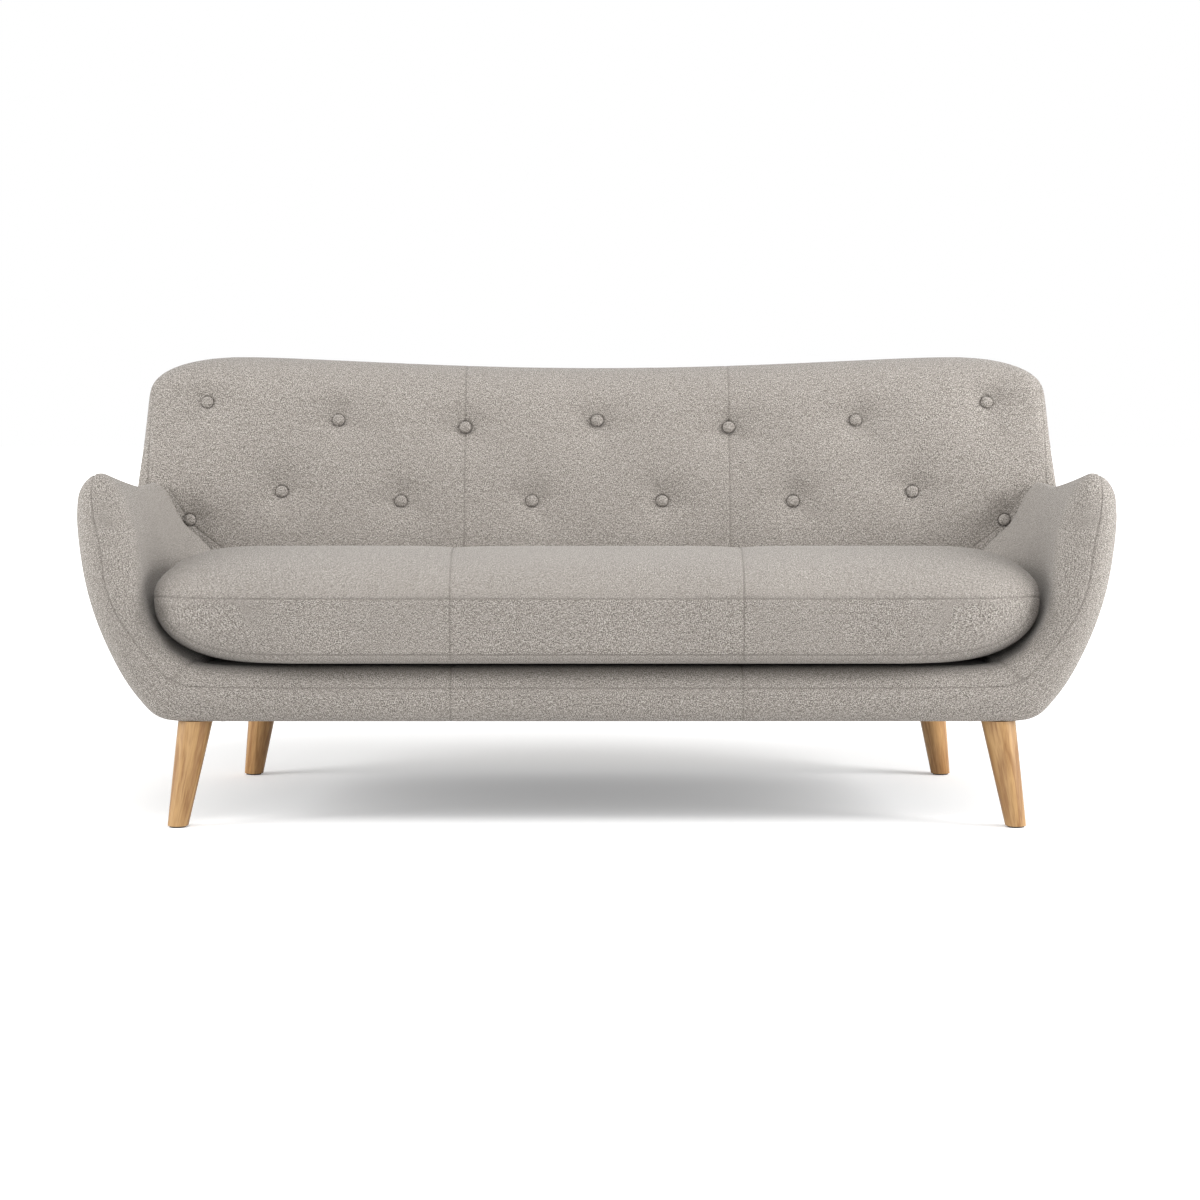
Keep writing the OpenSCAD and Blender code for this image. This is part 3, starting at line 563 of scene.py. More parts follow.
def upholstery_fabric():
    """Woven beige-grey cloth: thick and thin yarns of mixed shades, crossing at right angles, with
    painted shade darkening it along the seams.
    """
    made, tree, shader = plain_material(
        "upholstery_fabric", 0.92, Sheen_Weight=0.12, Sheen_Roughness=0.6, Specular_IOR_Level=0.25)
    weave = signal(tree, "UVMap", uv_map="weave")

    def spread(fine_u, fine_v, start=(0, 0, 0)):
        """The cloth's map, this fine each way, from another start."""
        return signal(tree, "Mapping", weave, Scale=(fine_u, fine_v, 1), Location=start)

    def threads(place, detail, roughness):
        return signal(tree, "TexNoise", place, Scale=1.0, Detail=detail, Roughness=roughness)

    warp = threads(spread(800, 200), 2.0, 0.6)
    weft = threads(spread(200, 800, (7.3, 7.3, 7.3)), 2.0, 0.6)
    speck = threads(spread(560, 560, (3, 5, 0)), 1.5, 0.55)
    crossing = node(tree, "TexChecker", spread(640, 640), Scale=1.0)
    mixed = node(tree, "Mix")
    for place, source in ((0, crossing.outputs[1]), (2, warp), (3, weft)):
        tree.links.new(source, mixed.inputs[place])
    speck_weight = 0.9
    shade = signal(tree, "Math", speck, speck_weight, mixed.outputs[0], operation="MULTIPLY_ADD")
    scaled = signal(tree, "MapRange", shade, 0.0, 1.3)
    colour = ramp(
        tree, scaled, (0.565, (0.064, 0.054, 0.046)), (0.676, (0.197, 0.177, 0.157)),
        (0.744, (0.263, 0.239, 0.215)), (0.855, (0.524, 0.489, 0.451)))
    patches = signal(tree, "TexNoise", object_place(tree), Scale=4.5, Detail=2.0)
    tone = ramp(tree, patches, (0.3, 0.95), (0.7, 1.0))
    toned = blend_colours(tree, "MULTIPLY", 1.0, colour, tone)
    # Painted shade in the seam grooves: the colour is mixed halfway towards a dark brown where the
    # seam mark is 1.
    seam_shade_mark = node(tree, "Attribute", attribute_name="seam_shade_mark").outputs["Fac"]
    fold = signal(tree, "Math", seam_shade_mark, 0.50, operation="MULTIPLY")
    with_seam_shade = blend_colours(tree, "MIX", fold, toned, (0.13, 0.115, 0.10, 1))
    dress(tree, shader, with_seam_shade, shade, 0.55, 0.0009)
    return made


fabric = upholstery_fabric()
tub_cover.data.materials.append(fabric)
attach(tub_cover, "frame")
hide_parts("front_roll", "arm_left", "arm_right", "side_pad_left", "side_pad_right")

# ------------------------------------------------------------------ back
# The padded back: foam over webbing, pulled in by covered buttons, with a seam at each third of
# the seat and one along its rim. The cover runs over the top and round the sides.

back_top = body_base + 0.636
back_low = body_base + 0.108                 # the front face starts above the rear rail
tail_z = back_top - 0.034
knee_z = body_base + 0.110
widest = 0.893                               # half width of the back where it is widest
face_reach = 0.60                            # the face's columns stay upright up to here
tuft_depth, tuft_spread = 0.0155, 0.0255
button_places = [
    (0, 0.513), (seam_x, 0.500), (0.511, 0.514), (0.770, 0.549),
    (0.128, 0.357), (0.385, 0.357), (0.619, 0.376), (0.797, 0.322),
]
buttons = [(s * x, body_base + z) for x, z in button_places for s in ((-1, 1) if x else (1,))]


def outside_face(z):
    """Outside of the back: upright at the rail, raked above it."""
    run = soft_step(tail_z - knee_z, 0.040) - soft_step(min(z, tail_z) - knee_z, 0.040)
    return 0.410 - 0.222 * run


arm_outline = [outer_at(2 + 7 * k / 60, arm_end) for k in range(61)]


def back_half_width(z):
    if z < arm_outline[-1].y:
        return line_x(arm_outline, z)
    drift = 0.014 * clamp((z - body_base - 0.375) / 0.195, 0, 1)
    return arm_outline[-1].x - drift - 0.190 * (1 - nose(back_top - z, 0.078, 2.5))


def top_dip(x, z):
    """The top line dips in the middle."""
    rise = ease((z - body_base - 0.380) / 0.256)
    return rise * 0.022 * clamp(1 - (x / 0.700) ** 2, 0, 1) ** 1.5


def tuft(x, z):
    """Depth of the pull round the buttons, with soft folds running out from each."""
    pull = 0
    for bx, bz in buttons:
        dx, dz = x - bx, z - bz
        r = math.hypot(dx, dz)
        if r < 0.16:
            fold = 0.0016 * math.cos(5 * math.atan2(dz, dx) + 9 * bx)
            fold *= math.exp(-((r - 0.045) / 0.026) ** 2)
            wide = 0.0035 * math.exp(-(r / 0.070) ** 2)
            pull = max(pull, tuft_depth * math.exp(-(r / tuft_spread) ** 2 / 2) + wide + fold)
    return pull


def across(c, z):
    """A column's place at height z: upright in the middle, drawn in with the outline outside it."""
    x = abs(c) * widest
    w = back_half_width(z)
    if w > face_reach and x > face_reach:
        x = mix(face_reach, w, (x - face_reach) / (widest - face_reach))
    elif x > face_reach:
        x = face_reach
    return math.copysign(x, c)


def set_back(d, r):
    """How far a rounded edge of radius r falls back at distance d from its end."""
    return r * (1 - nose(max(d, 0), r, 2))


side_steps = [0.0006, 0.003, 0.007, 0.012, 0.018, 0.025, 0.034, 0.045, 0.060, 0.080]
face_cs = [1 - s / widest for s in side_steps]
inner_c = face_cs[-1]
face_cs += [inner_c * (1 - k / 68) for k in range(1, 69)]
face_cs = [-c for c in face_cs[:-1]] + face_cs[::-1]
drops = [
    0.0004, 0.0022, 0.005, 0.009, 0.014, 0.020, 0.027, 0.035, 0.044, 0.054, 0.065, 0.077, 0.090, 0.104,
]
heights = [body_base + h for h in (0, 0.008, 0.016, 0.03, 0.07)]
heights += [mix(back_low, back_top - 0.116, k / 40) for k in range(41)]
heights += [back_top - d for d in reversed(drops)]
levels = [(z, True) for z in heights] + [(z, False) for z in reversed(heights)]


def back_point(i, j):
    c, (z, in_front) = face_cs[i], levels[j]
    x = across(c, z)
    w = back_half_width(z)
    d, drop = w - abs(x), back_top - z
    side_round = mix(0.007, 0.034, ease((z - body_base - 0.378) / 0.110))
    if in_front:
        fade = ease((z - back_low) / 0.060)
        y = back_face(x, z) + tuft(x, z) * fade + set_back(d, side_round) + set_back(drop, 0.066)
    else:
        recess = 0.006 * ease((min(d, drop, z - body_base) - 0.008) / 0.007)
        y = outside_face(z) - set_back(d, 0.012) - set_back(drop, 0.022) - recess
    return Vector((x, y, z - top_dip(x, z)))


front_rows, side_columns = len(heights) - 1, 12


def side_point(column, i, j):
    """The boxed side, from the front's edge round to the outside back's."""
    front, rear = back_point(column, j), back_point(column, len(levels) - 1 - j)
    p = front.lerp(rear, i / side_columns)
    return p + Vector((math.copysign(0.0015, p.x) * math.sin(math.pi * i / side_columns), 0, 0))


bm = bmesh.new()
bent_grid(bm, len(face_cs) - 1, len(levels) - 1, back_point)
for column in (0, len(face_cs) - 1):
    bent_grid(bm, side_columns, front_rows, lambda i, j: side_point(column, i, j))
tidy_shell(bm)
close_ends(bm)


def back_seam_field(v):
    """The two upright seams, which run up the face and over the top."""
    x, z = abs(v.co.x), v.co.z
    return None if z < back_low or v.co.y > outside_face(z) - 0.016 else near(x - seam_x)


def rim_field(v):
    """The seam round the rim: inside the front's edge at the sides, behind the crest on top."""
    x, y, z = v.co
    z += top_dip(x, z)
    d, drop = back_half_width(z) - abs(x), back_top - z
    if z < body_base + 0.15 or min(d, drop) > 0.062 or y > outside_face(z) - 0.004:
        return None
    inset = mix(0.0205, 0.0105, ease((z - body_base - 0.375) / 0.150))
    inside = inset - d if v.normal.y < 0.1 else 0.02
    line = mix(set_back(inset, 0.034), 0.088, ease((z - body_base - 0.566) / 0.052))
    behind = (y - back_face(x, z) - line) / max(0.3, math.sqrt(max(0, 1 - v.normal.y ** 2)))
    return mix(inside, behind, ease((z - body_base - 0.500) / 0.040))


arm_inside = [inner_at(mitre + 7 * k / 60, back_line + 0.030) for k in range(61)]


def arm_join_field(v):
    """The cover is tucked in beside each arm along a second line of stitching."""
    x, z = abs(v.co.x), v.co.z
    if z > arm_inside[-1].y - 0.006 or z < back_low + 0.02 or v.normal.y > -0.3:
        return None
    off = x - line_x(arm_inside, z) + 0.005
    return off if abs(off) < 0.03 else None


def button_distance(v):
    """Distance from the nearest button's axis on the front face."""
    if v.co.y > back_face(v.co.x, v.co.z) + 0.045:
        return None
    nearest = min(math.hypot(v.co.x - bx, v.co.z - bz) for bx, bz in buttons)
    return nearest if nearest < 0.05 else None


pit_radius, pit_depth = 0.0124, 0.0038       # the cover closes round each button's rim


def press_buttons(bm):
    """Each button sits in a small pit with a crisp edge."""
    for reach in (pit_radius, pit_radius + 0.0022, pit_radius + 0.0065):
        cut_along(bm, {v: button_distance(v) for v in bm.verts}, reach)
    for v in bm.verts:
        reach = button_distance(v)
        if reach is not None and reach < pit_radius + 0.0006:
            v.co.y += pit_depth


def back_held(co):
    """Held at the rim, low down behind the cushion, at the buttons and along the seams."""
    x, z = abs(co.x), co.z
    if co.y > back_face(x, z) + 0.030 or z < back_low + 0.03 or back_half_width(z) - x < 0.034:
        return True
    if any(math.hypot(co.x - bx, z - bz) < 0.024 for bx, bz in buttons):
        return True
    return abs(x - seam_x) < 0.007


back_cover = new_piece("back_cover", bm)
swell(back_cover, back_held, pressure=3, travel=0.007)
sew_all(back_cover, back_seam_field, rim_field, arm_join_field, then=press_buttons)
one_subdivision(back_cover)
back_cover.data.materials.append(fabric)
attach(back_cover, "frame")
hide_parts("back_cushion")

# ------------------------------------------------------------------ outside back
# A panel of the same cloth over thin ply, tacked inside the rim of the back after everything
# else is covered. Its edge is turned under.

panel_margin, panel_thickness = 0.014, 0.0035
panel_cs = [1, 0.994, 0.985, 0.97] + [0.95 * (1 - k / 26) for k in range(27)]
panel_cs = [-c for c in panel_cs[:-1]] + panel_cs[::-1]
panel_low, panel_high = body_base + panel_margin, back_top - panel_margin
panel_zs = [panel_low + h for h in (0, 0.002, 0.006, 0.014)]
panel_zs += [mix(panel_low + 0.03, panel_high - 0.09, k / 18) for k in range(19)]
panel_zs += [panel_high - h for h in (0.066, 0.045, 0.028, 0.014, 0.006, 0.002, 0)]


def panel_point(i, j):
    c, z = panel_cs[i], panel_zs[j]
    x = across(c, z) - panel_margin * c
    edge = min(back_half_width(z) - panel_margin - abs(x), panel_high - z, z - panel_low)
    share = clamp((z - panel_low) / (panel_high - panel_low), 0, 1)
    fill = 0.003 * math.sin(math.pi * share) * (1 - c * c)
    y = outside_face(z) + 0.0005 + fill - set_back(edge, 0.006)
    return Vector((x, y, z - top_dip(x, z)))


bm = bmesh.new()
bent_grid(bm, len(panel_cs) - 1, len(panel_zs) - 1, panel_point)
face_outwards(bm)
if sum(f.normal.y for f in bm.faces) < 0:
    bmesh.ops.reverse_faces(bm, faces=bm.faces)
bmesh.ops.solidify(bm, geom=bm.faces[:], thickness=panel_thickness)
face_outwards(bm)
outside_panel = new_piece("outside_back_panel", bm)
one_subdivision(outside_panel)
outside_panel.data.materials.append(fabric)
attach(outside_panel, "frame")
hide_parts("outside_back")

# ------------------------------------------------------------------ buttons
# Fifteen buttons covered in the same cloth, pulled into the back with twine.

button_radius = 0.0118
button_depth = 0.0145                        # of their rims behind the untufted face
button_profile = [
    (0, 0.0054), (0.0036, 0.0052), (0.0068, 0.0045), (0.0094, 0.0033), (0.0111, 0.0017),
    (button_radius, -0.0002), (0.0115, -0.0020), (0.0105, -0.0060),
]
bm = bmesh.new()
weave = bm.loops.layers.uv.new("weave")
for bx, bz in buttons:
    chain = [bm.verts.new((r, 0, h)) for r, h in button_profile]
    edges = [bm.edges.new(pair) for pair in zip(chain, chain[1:])]
    bmesh.ops.spin(
        bm, geom=chain + edges, cent=(0, 0, 0), axis=(0, 0, 1), angle=math.tau, steps=28,
        use_merge=True)
    new_faces = [face for face in bm.faces if not face.tag]
    verts = list({v for edge in edges for v in edge.verts} | {v for f in new_faces for v in f.verts})
    for face in new_faces:
        face.tag = True
        for loop in face.loops:
            loop[weave].uv = (loop.vert.co.x + bx, loop.vert.co.y + bz)
    slope = (back_face(bx, bz + 0.005) - back_face(bx, bz - 0.005)) / 0.010
    turn = Vector((0, -1, slope)).to_track_quat("Z", "Y").to_matrix().to_4x4()
    bmesh.ops.transform(bm, matrix=turn, verts=verts)
    bmesh.ops.translate(bm, vec=(bx, back_face(bx, bz) + button_depth, bz), verts=verts)
bmesh.ops.remove_doubles(bm, verts=bm.verts, dist=0.00005)
face_outwards(bm)
covered_buttons = new_piece("covered_buttons", bm)
one_subdivision(covered_buttons)
covered_buttons.data.materials.append(fabric)
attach(covered_buttons, "frame")
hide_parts("back_buttons")

# ------------------------------------------------------------------ seat cushion
# One loose bench cushion with a foam core. Two seams bound its front band and meet at each
# end; two more cross its top and band. It rests on the deck and lifts straight off.

deck_z = body_base + 0.100
cushion_front = -0.410
band_low, band_high = deck_z + 0.023, deck_z + 0.123
cushion_mid = deck_z + 0.113
crown_y, crown_z = cushion_front + 0.235, deck_z + 0.194
cushion_back = back_face(0.712, deck_z) - 0.007
end_length = 0.190
column_reach, straight_reach = 0.560, 0.275  # its columns stay upright up to the second one


def cushion_half_width(y):
    limit = 0
    for k in range(31):
        p = inner_at(mitre + k / 6, y)
        if p.y > cushion_mid - 0.012:
            break
        limit = p.x
    corner = 0.175 * (1 - nose(y - cushion_front, 0.120, 2))
    corner += 0.026 * (1 - nose(cushion_back - y, 0.040, 2))
    return limit - 0.007 - corner


def cushion_top(y):
    if y < crown_y:
        t = (crown_y - y) / (crown_y - cushion_front)
        return mix(band_high, crown_z, math.sqrt(max(0, 1 - t * t)))
    fall = 0.044 * ((y - crown_y) / (cushion_back - crown_y)) ** 1.6
    return crown_z - fall - 0.034 * (1 - nose(cushion_back - y, 0.046, 2))


def cushion_bottom(y):
    front = 0.017 * (1 - nose(y - cushion_front, 0.020, 2))
    front += 0.006 * (1 - ease((y - cushion_front) / 0.090))
    return deck_z + 0.0005 + front + 0.030 * (1 - nose(cushion_back - y, 0.030, 2))


def cushion_middle(y):
    """Height of the cushion's widest line, lower where the cushion is thin."""
    return min(cushion_mid, mix(cushion_bottom(y), cushion_top(y), 0.9))


def end_curve(angle):
    """How far in from the cushion's end its rounding is, and its share of the full height."""
    return end_length * (1 - math.cos(angle) ** 0.9), math.sin(angle) ** 0.88


depths = [0, 0.0012, 0.0045, 0.010, 0.018, 0.029, 0.043, 0.060, 0.080, 0.102, 0.126]
top_ys = [cushion_front + d for d in depths]
top_ys += [mix(top_ys[-1], cushion_back - 0.052, k / 27) for k in range(1, 28)]
top_ys += [cushion_back - d for d in (0.040, 0.029, 0.019, 0.011, 0.005, 0.0015, 0)]
half_widths = {y: cushion_half_width(y) for y in top_ys}
band_rows, rear_band_rows = 9, 6
rows = [(y, "top") for y in reversed(top_ys)]
rows += [(k / band_rows, "band") for k in range(1, band_rows)]
rows += [(y, "bottom") for y in top_ys]
rows += [(k / rear_band_rows, "rear") for k in range(1, rear_band_rows + 1)]
end_angles = [90 * (k / 16) ** 0.9 for k in range(17)]      # 0 at the very end
flat_count = 76
cushion_columns = [("end", -1, a) for a in end_angles]
cushion_columns += [("flat", 0, -1 + 2 * k / flat_count) for k in range(1, flat_count)]
cushion_columns += [("end", 1, a) for a in reversed(end_angles)]


def cushion_point(i, j):
    kind, side, value = cushion_columns[i]
    where, part = rows[j]
    y = where if part in ("top", "bottom") else cushion_front if part == "band" else cushion_back
    w = half_widths[y]
    if kind == "flat":
        height = 1
        x = abs(value) * column_reach
        if x > straight_reach:
            share = (x - straight_reach) / (column_reach - straight_reach)
            x = mix(straight_reach, w - end_length, share)
        x = math.copysign(x, value)
    else:
        inset, height = end_curve(math.radians(value))
        x = side * (w - inset)
    z_top, z_bottom = cushion_top(y), cushion_bottom(y)
    if part == "top":
        z = z_top
    elif part == "bottom":
        z = z_bottom
    else:
        z = mix(z_top, z_bottom, where) if part == "band" else mix(z_bottom, z_top, where)
    middle = cushion_middle(y)
    z = middle + (z - middle) * (height if z < middle else 1 - (1 - height) ** 1.4)
    if part == "rear":
        y += 0.004 * math.sin(math.pi * where) * height
    return Vector((x, y, z))


bm = bmesh.new()
bent_grid(bm, len(cushion_columns) - 1, len(rows) - 1, cushion_point)
tidy_shell(bm)
face_outwards(bm)

# The lower seam as seen from the front: flat, then up round the cushion's end.
low_seam_end = 0.779
low_seam = [Vector((-0.1, band_low))]
for k in range(24, -1, -1):
    inset, height = end_curve(math.pi / 2 * k / 24)
    low_seam.append(Vector((low_seam_end - inset, cushion_mid - 0.090 * height)))


def upper_seam_field(v):
    """Round the whole cushion: along the band's top in front, then at mid height."""
    y, z = v.co.y, v.co.z
    if abs(v.normal.z) > 0.93 or abs(z - cushion_mid) > 0.05:
        return None
    line = mix(band_high, cushion_middle(y), ease((y - cushion_front - 0.030) / 0.120))
    return (z - line) / max(0.4, math.sqrt(1 - v.normal.z ** 2))


def lower_seam_field(v):
    x, y, z = folded(v.co)
    if y > -0.22 or z > cushion_mid - 0.004 or v.normal.z < -0.93:
        return None
    return near(line_distance(Vector((x, z)), low_seam))


def cross_seam_x(y):
    """The cross seams spread a little towards the back."""
    return seam_x + 0.012 * clamp((y - cushion_front) / 0.5, 0, 1)


def cross_seam_field(v):
    return near(abs(v.co.x) - cross_seam_x(v.co.y)) if v.co.z > deck_z + 0.012 else None


def cushion_held(co):
    """Held where it rests, along its seams and at its widest."""
    x, y, z = folded(co)
    if z < deck_z + 0.016 or abs(x - cross_seam_x(y)) < 0.007:
        return True
    if y < -0.25 and min(abs(z - band_high), abs(line_distance(Vector((x, z)), low_seam))) < 0.006:
        return y < cushion_front + 0.05 or x > 0.60
    return x > cushion_half_width(y) - 0.004


cushion_cover = new_piece("seat_cushion_cover", bm)
swell(cushion_cover, cushion_held, pressure=3, travel=0.0035)
sew_all(cushion_cover, upper_seam_field, lower_seam_field, cross_seam_field)
one_subdivision(cushion_cover)
cushion_cover.data.materials.append(fabric)
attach(cushion_cover, "seat_cushion")
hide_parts("seat_cushion")

# ------------------------------------------------------------------ foam core
# The block of cold foam inside the seat cushion, cut with a hot wire, with its edges taken
# off so that they don't show through the cover. It lifts with the cushion.


def rounded_block(name, outline, low, high, radius):
    """A block on a plan outline, all its edges rounded."""
    bm = bmesh.new()
    floor_face = bm.faces.new([bm.verts.new((x, y, low)) for x, y in outline])
    walls = bmesh.ops.extrude_face_region(bm, geom=[floor_face])["geom"]
    raised = [v for v in walls if isinstance(v, bmesh.types.BMVert)]
    bmesh.ops.translate(bm, vec=(0, 0, high - low), verts=raised)
    face_outwards(bm)
    bmesh.ops.bevel(
        bm, geom=bm.edges[:], offset=radius, segments=4, profile=0.5, affect="EDGES",
        clamp_overlap=True)
    return new_piece(name, bm)


def foam(name, colour):
    """Open-celled foam: a fine, dull sponge."""
    made, tree, shader = plain_material(name, 1.0)
    cells = node(tree, "TexVoronoi", Vector=object_place(tree), Scale=620.0)
    depth = cells.outputs["Distance"]
    tint = ramp(tree, depth, (0.0, tuple(0.72 * c for c in colour)), (0.55, colour))
    dress(tree, shader, tint, depth, 0.4, 0.0006)
    return made


core_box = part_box("seat_foam_core")
core_rear = cushion_half_width(cushion_back - 0.060) - 0.150
core_outline = [
    (-core_box[1][0], core_box[0][1]), (core_box[1][0], core_box[0][1]),
    (core_rear, core_box[1][1]), (-core_rear, core_box[1][1]),
]
foam_block = rounded_block("foam_block", core_outline, core_box[0][2], core_box[1][2], 0.010)
foam_block.data.materials.append(foam("foam", (0.80, 0.74, 0.58)))
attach(foam_block, "seat_cushion")
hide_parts("seat_foam_core")

# ------------------------------------------------------------------ deck
# Felt over the springs under dark deck cloth, stapled to the rails behind the front roll. It
# shows only when the cushion is lifted off.

deck_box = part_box("seat_deck_pad")
deck_front, deck_rear = deck_box[0][1], deck_box[1][1]
deck_low, deck_high = deck_box[0][2], deck_box[1][2]
deck_inset = 0.0284                          # the side rail's thickness and a little play
ripple_pitch = 0.1595
edge_shares = [0, 0.0006, 0.0025, 0.006, 0.012, 0.024]
deck_shares = edge_shares + [0.024 + 0.952 * k / 48 for k in range(1, 48)]
deck_shares += [1 - s for s in reversed(edge_shares)]
deck_depths = [s * 2.5 for s in edge_shares] + [0.06 + 0.88 * k / 20 for k in range(1, 20)]
deck_depths += [1 - 2.5 * s for s in reversed(edge_shares)]


def deck_point(i, j, upper):
    y = mix(deck_front, deck_rear, deck_depths[j])
    half = side_rail_face(y) - deck_inset
    x = half * (2 * deck_shares[i] - 1)
    inside = min(half - abs(x), y - deck_front, deck_rear - y)
    middle, thick = (deck_low + deck_high) / 2, (deck_high - deck_low) / 2
    z = middle + (1 if upper else -1) * thick * nose(inside, 0.014, 2.2)
    if upper:                                # the springs under it show a little
        ripple = 0.5 + 0.5 * math.cos(math.tau * x / ripple_pitch)
        unevenness = 0.0006 * (1 + noise.noise(Vector((x, y, 0)) * 9))
        z -= 0.0016 * (1 - ripple) * ease(inside / 0.06) + unevenness
    return Vector((x, y, z))


bm = bmesh.new()
for upper in (True, False):
    bent_grid(bm, len(deck_shares) - 1, len(deck_depths) - 1, lambda i, j: deck_point(i, j, upper))
tidy_shell(bm)
face_outwards(bm)
deck_cover = new_piece("deck_cover", bm)
one_subdivision(deck_cover)

full_turn = 6.283                            # a wave's scale is its fineness over this


def plain_cloth(name, colour, fineness):
    """Dark utility cloth: even threads, crossing at right angles."""
    made, tree, shader = plain_material(name, 0.95, Specular_IOR_Level=0.2)
    place = object_place(tree)
    warp, weft = [
        signal(tree, "TexWave", place, bands_direction=direction, Scale=fineness / full_turn,
               Distortion=1.2)
        for direction in ("X", "Y")
    ]
    threads = blend_colours(tree, "MULTIPLY", 1.0, warp, weft)
    patches = signal(tree, "TexNoise", place, Scale=22.0, Detail=4.0)
    blotch = blend_colours(tree, "MIX", 0.35, threads, patches)
    dim, bright = (tuple(share * c for c in colour) for share in (0.6, 1.3))
    dress(tree, shader, ramp(tree, blotch, (0.1, dim), (0.75, bright)), blotch, 0.5, 0.0003)
    return made


deck_cover.data.materials.append(plain_cloth("deck_cloth", (0.10, 0.095, 0.09), 3200))
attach(deck_cover, "frame")
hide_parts("seat_deck_pad")

# ------------------------------------------------------------------ legs
# Four round tapered legs turned from oak and lacquered satin, leaning outwards. Each is cut
# from its own blank, so its grain runs along it in its own way. Their feet are eased.

leg_height = body_base
leg_splay, leg_rake = math.radians(9.2), math.radians(8)


def show_as(node_name, material):
    """A CAD piece keeps its own mesh and takes this material."""
    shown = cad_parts[node_name]
    for socket in shown.material_slots:
        socket.material = material


def wood(name, pale, dark, place, turn, strength, roughness, seed, **others):
    """Timber whose grain runs along the Z axis of a frame at place, turned by turn."""
    made, tree, shader = plain_material(name, roughness, **others)
    blank = signal(
        tree, "Mapping", object_place(tree), vector_type="TEXTURE", Location=place, Rotation=turn)
    layers = []
    for size, detail, distortion in (
        ((26, 26, 2.6), 3.0, 0.9),           # growth rings
        ((150, 150, 5.0), 4.0, 0.4),         # streaks
        ((620, 620, 16), 2.0, 0.0),          # pores
    ):
        stretch = signal(tree, "Mapping", blank, Scale=size, Location=(seed, 2 * seed, 3 * seed))
        layers.append(signal(
            tree, "TexNoise", stretch, Scale=1.0, Detail=detail, Distortion=distortion))
    growth, streaks, pores = layers
    ring_count, ring_top = 9.0, 1.0          # the growth's steps fold up and down into rings
    rings = signal(tree, "Math", growth, ring_count, operation="MULTIPLY")
    bands = signal(tree, "Math", rings, ring_top, operation="PINGPONG")
    figure = blend_colours(tree, "MIX", 0.52, bands, streaks)
    figure = blend_colours(tree, "MIX", 0.40, figure, pores)
    middle = tuple((a + b) / 2 for a, b in zip(pale, dark))
    spread = 0.16 / strength
    tint = ramp(tree, figure, (0.5 - spread, dark), (0.5, middle), (0.5 + spread, pale))
    dress(tree, shader, tint, pores, 0.25, 0.0002)
    return made, shader


# The front legs' oak is painted darker and the rear legs' lighter: painted shade on the front pair and
# painted light on the rear pair, which the lamps reach less.
oak_tones_with_painted_light = {
    "front": ((0.446, 0.262, 0.102), (0.260, 0.125, 0.037)),
    "rear": ((0.560, 0.314, 0.120), (0.322, 0.149, 0.043)),
}
for count, (side, end) in enumerate(((-1, "front"), (1, "front"), (-1, "rear"), (1, "rear"))):
    corner_name = f"{end}_{'left' if side < 0 else 'right'}"
    leg_name = f"leg_{corner_name}"
    low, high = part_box(leg_name)
    middle = ((low[0] + high[0]) / 2, (low[1] + high[1]) / 2, leg_height / 2)
    lean = (-leg_rake if end == "front" else leg_rake, -side * leg_splay, 0)
    oak = wood(
        f"oak_{corner_name}", *oak_tones_with_painted_light[end], middle, lean, strength=1.0, roughness=0.42,
        seed=3.7 * count + 1.3, Coat_Weight=0.25, Coat_Roughness=0.28)[0]
    show_as(leg_name, oak)
    foot_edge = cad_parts[leg_name].modifiers.new("eased_edges", "BEVEL")
    foot_edge.width = 0.0012
    foot_edge.segments = 3
    foot_edge.limit_method = "ANGLE"
    foot_edge.angle_limit = math.radians(50)

# ------------------------------------------------------------------ leg hardware
# Under the body each leg has a zinc-plated steel plate, held by three screws, and a bolt up
# through it. A brown nylon glide is nailed under each foot.


def metal(name, colour, roughness, scratches=260.0):
    """Bare or plated steel with fine uneven wear."""
    made, tree, shader = plain_material(name, roughness, Metallic=1.0)
    wear = signal(
        tree, "TexNoise", object_place(tree), Scale=scratches, Detail=5.0, Roughness=0.65)
    dress(tree, shader, ramp(tree, wear, (0.3, tuple(0.75 * c for c in colour)), (0.7, colour)))
    rough = node(tree, "MapRange", wear)
    rough.inputs["To Min"].default_value = 0.8 * roughness
    rough.inputs["To Max"].default_value = min(1.0, 1.3 * roughness)
    tree.links.new(rough.outputs[0], shader.inputs["Roughness"])
    return made


zinc = metal("zinc_steel", (0.66, 0.67, 0.68), 0.36)
for node_name in ("leg_plates", "plate_screws", "leg_bolts"):
    show_as(node_name, zinc)

nylon, tree, shader = plain_material("glide_plastic", 0.5)
grain = signal(tree, "TexNoise", object_place(tree), Scale=900.0, Detail=2.0)
dress(tree, shader, ramp(tree, grain, (0.35, (0.045, 0.040, 0.035)), (0.65, (0.075, 0.068, 0.060))))
show_as("foot_glides", nylon)

# ------------------------------------------------------------------ frame timber
# The seat and back frame is planed softwood, glued and stapled. Its wider shaped parts and
# the arms' ribs are cut from plywood, whose layers show on the edges.

along_x, along_y, along_z = (0, math.pi / 2, 0), (math.pi / 2, 0, 0), (0, 0, 0)
softwood_pale, softwood_dark = (0.66, 0.49, 0.31), (0.50, 0.335, 0.185)
blank_middle = (0, 0, 0.2)
for run, turn, seed, names in (
    ("lengthways", along_x, 1.0, ("front_rail", "rear_rail")),
    ("crossways", along_y, 4.0, (
        "side_rail_left", "side_rail_right", "cross_rail_left", "cross_rail_right", "corner_blocks")),
    ("upright", along_z, 7.0, ("back_post_left", "back_post_right", "back_mid_posts")),
):
    softwood = wood(
        f"timber_{run}", softwood_pale, softwood_dark, blank_middle, turn, strength=0.9,
        roughness=0.75, seed=seed)[0]
    for node_name in names:
        show_as(node_name, softwood)


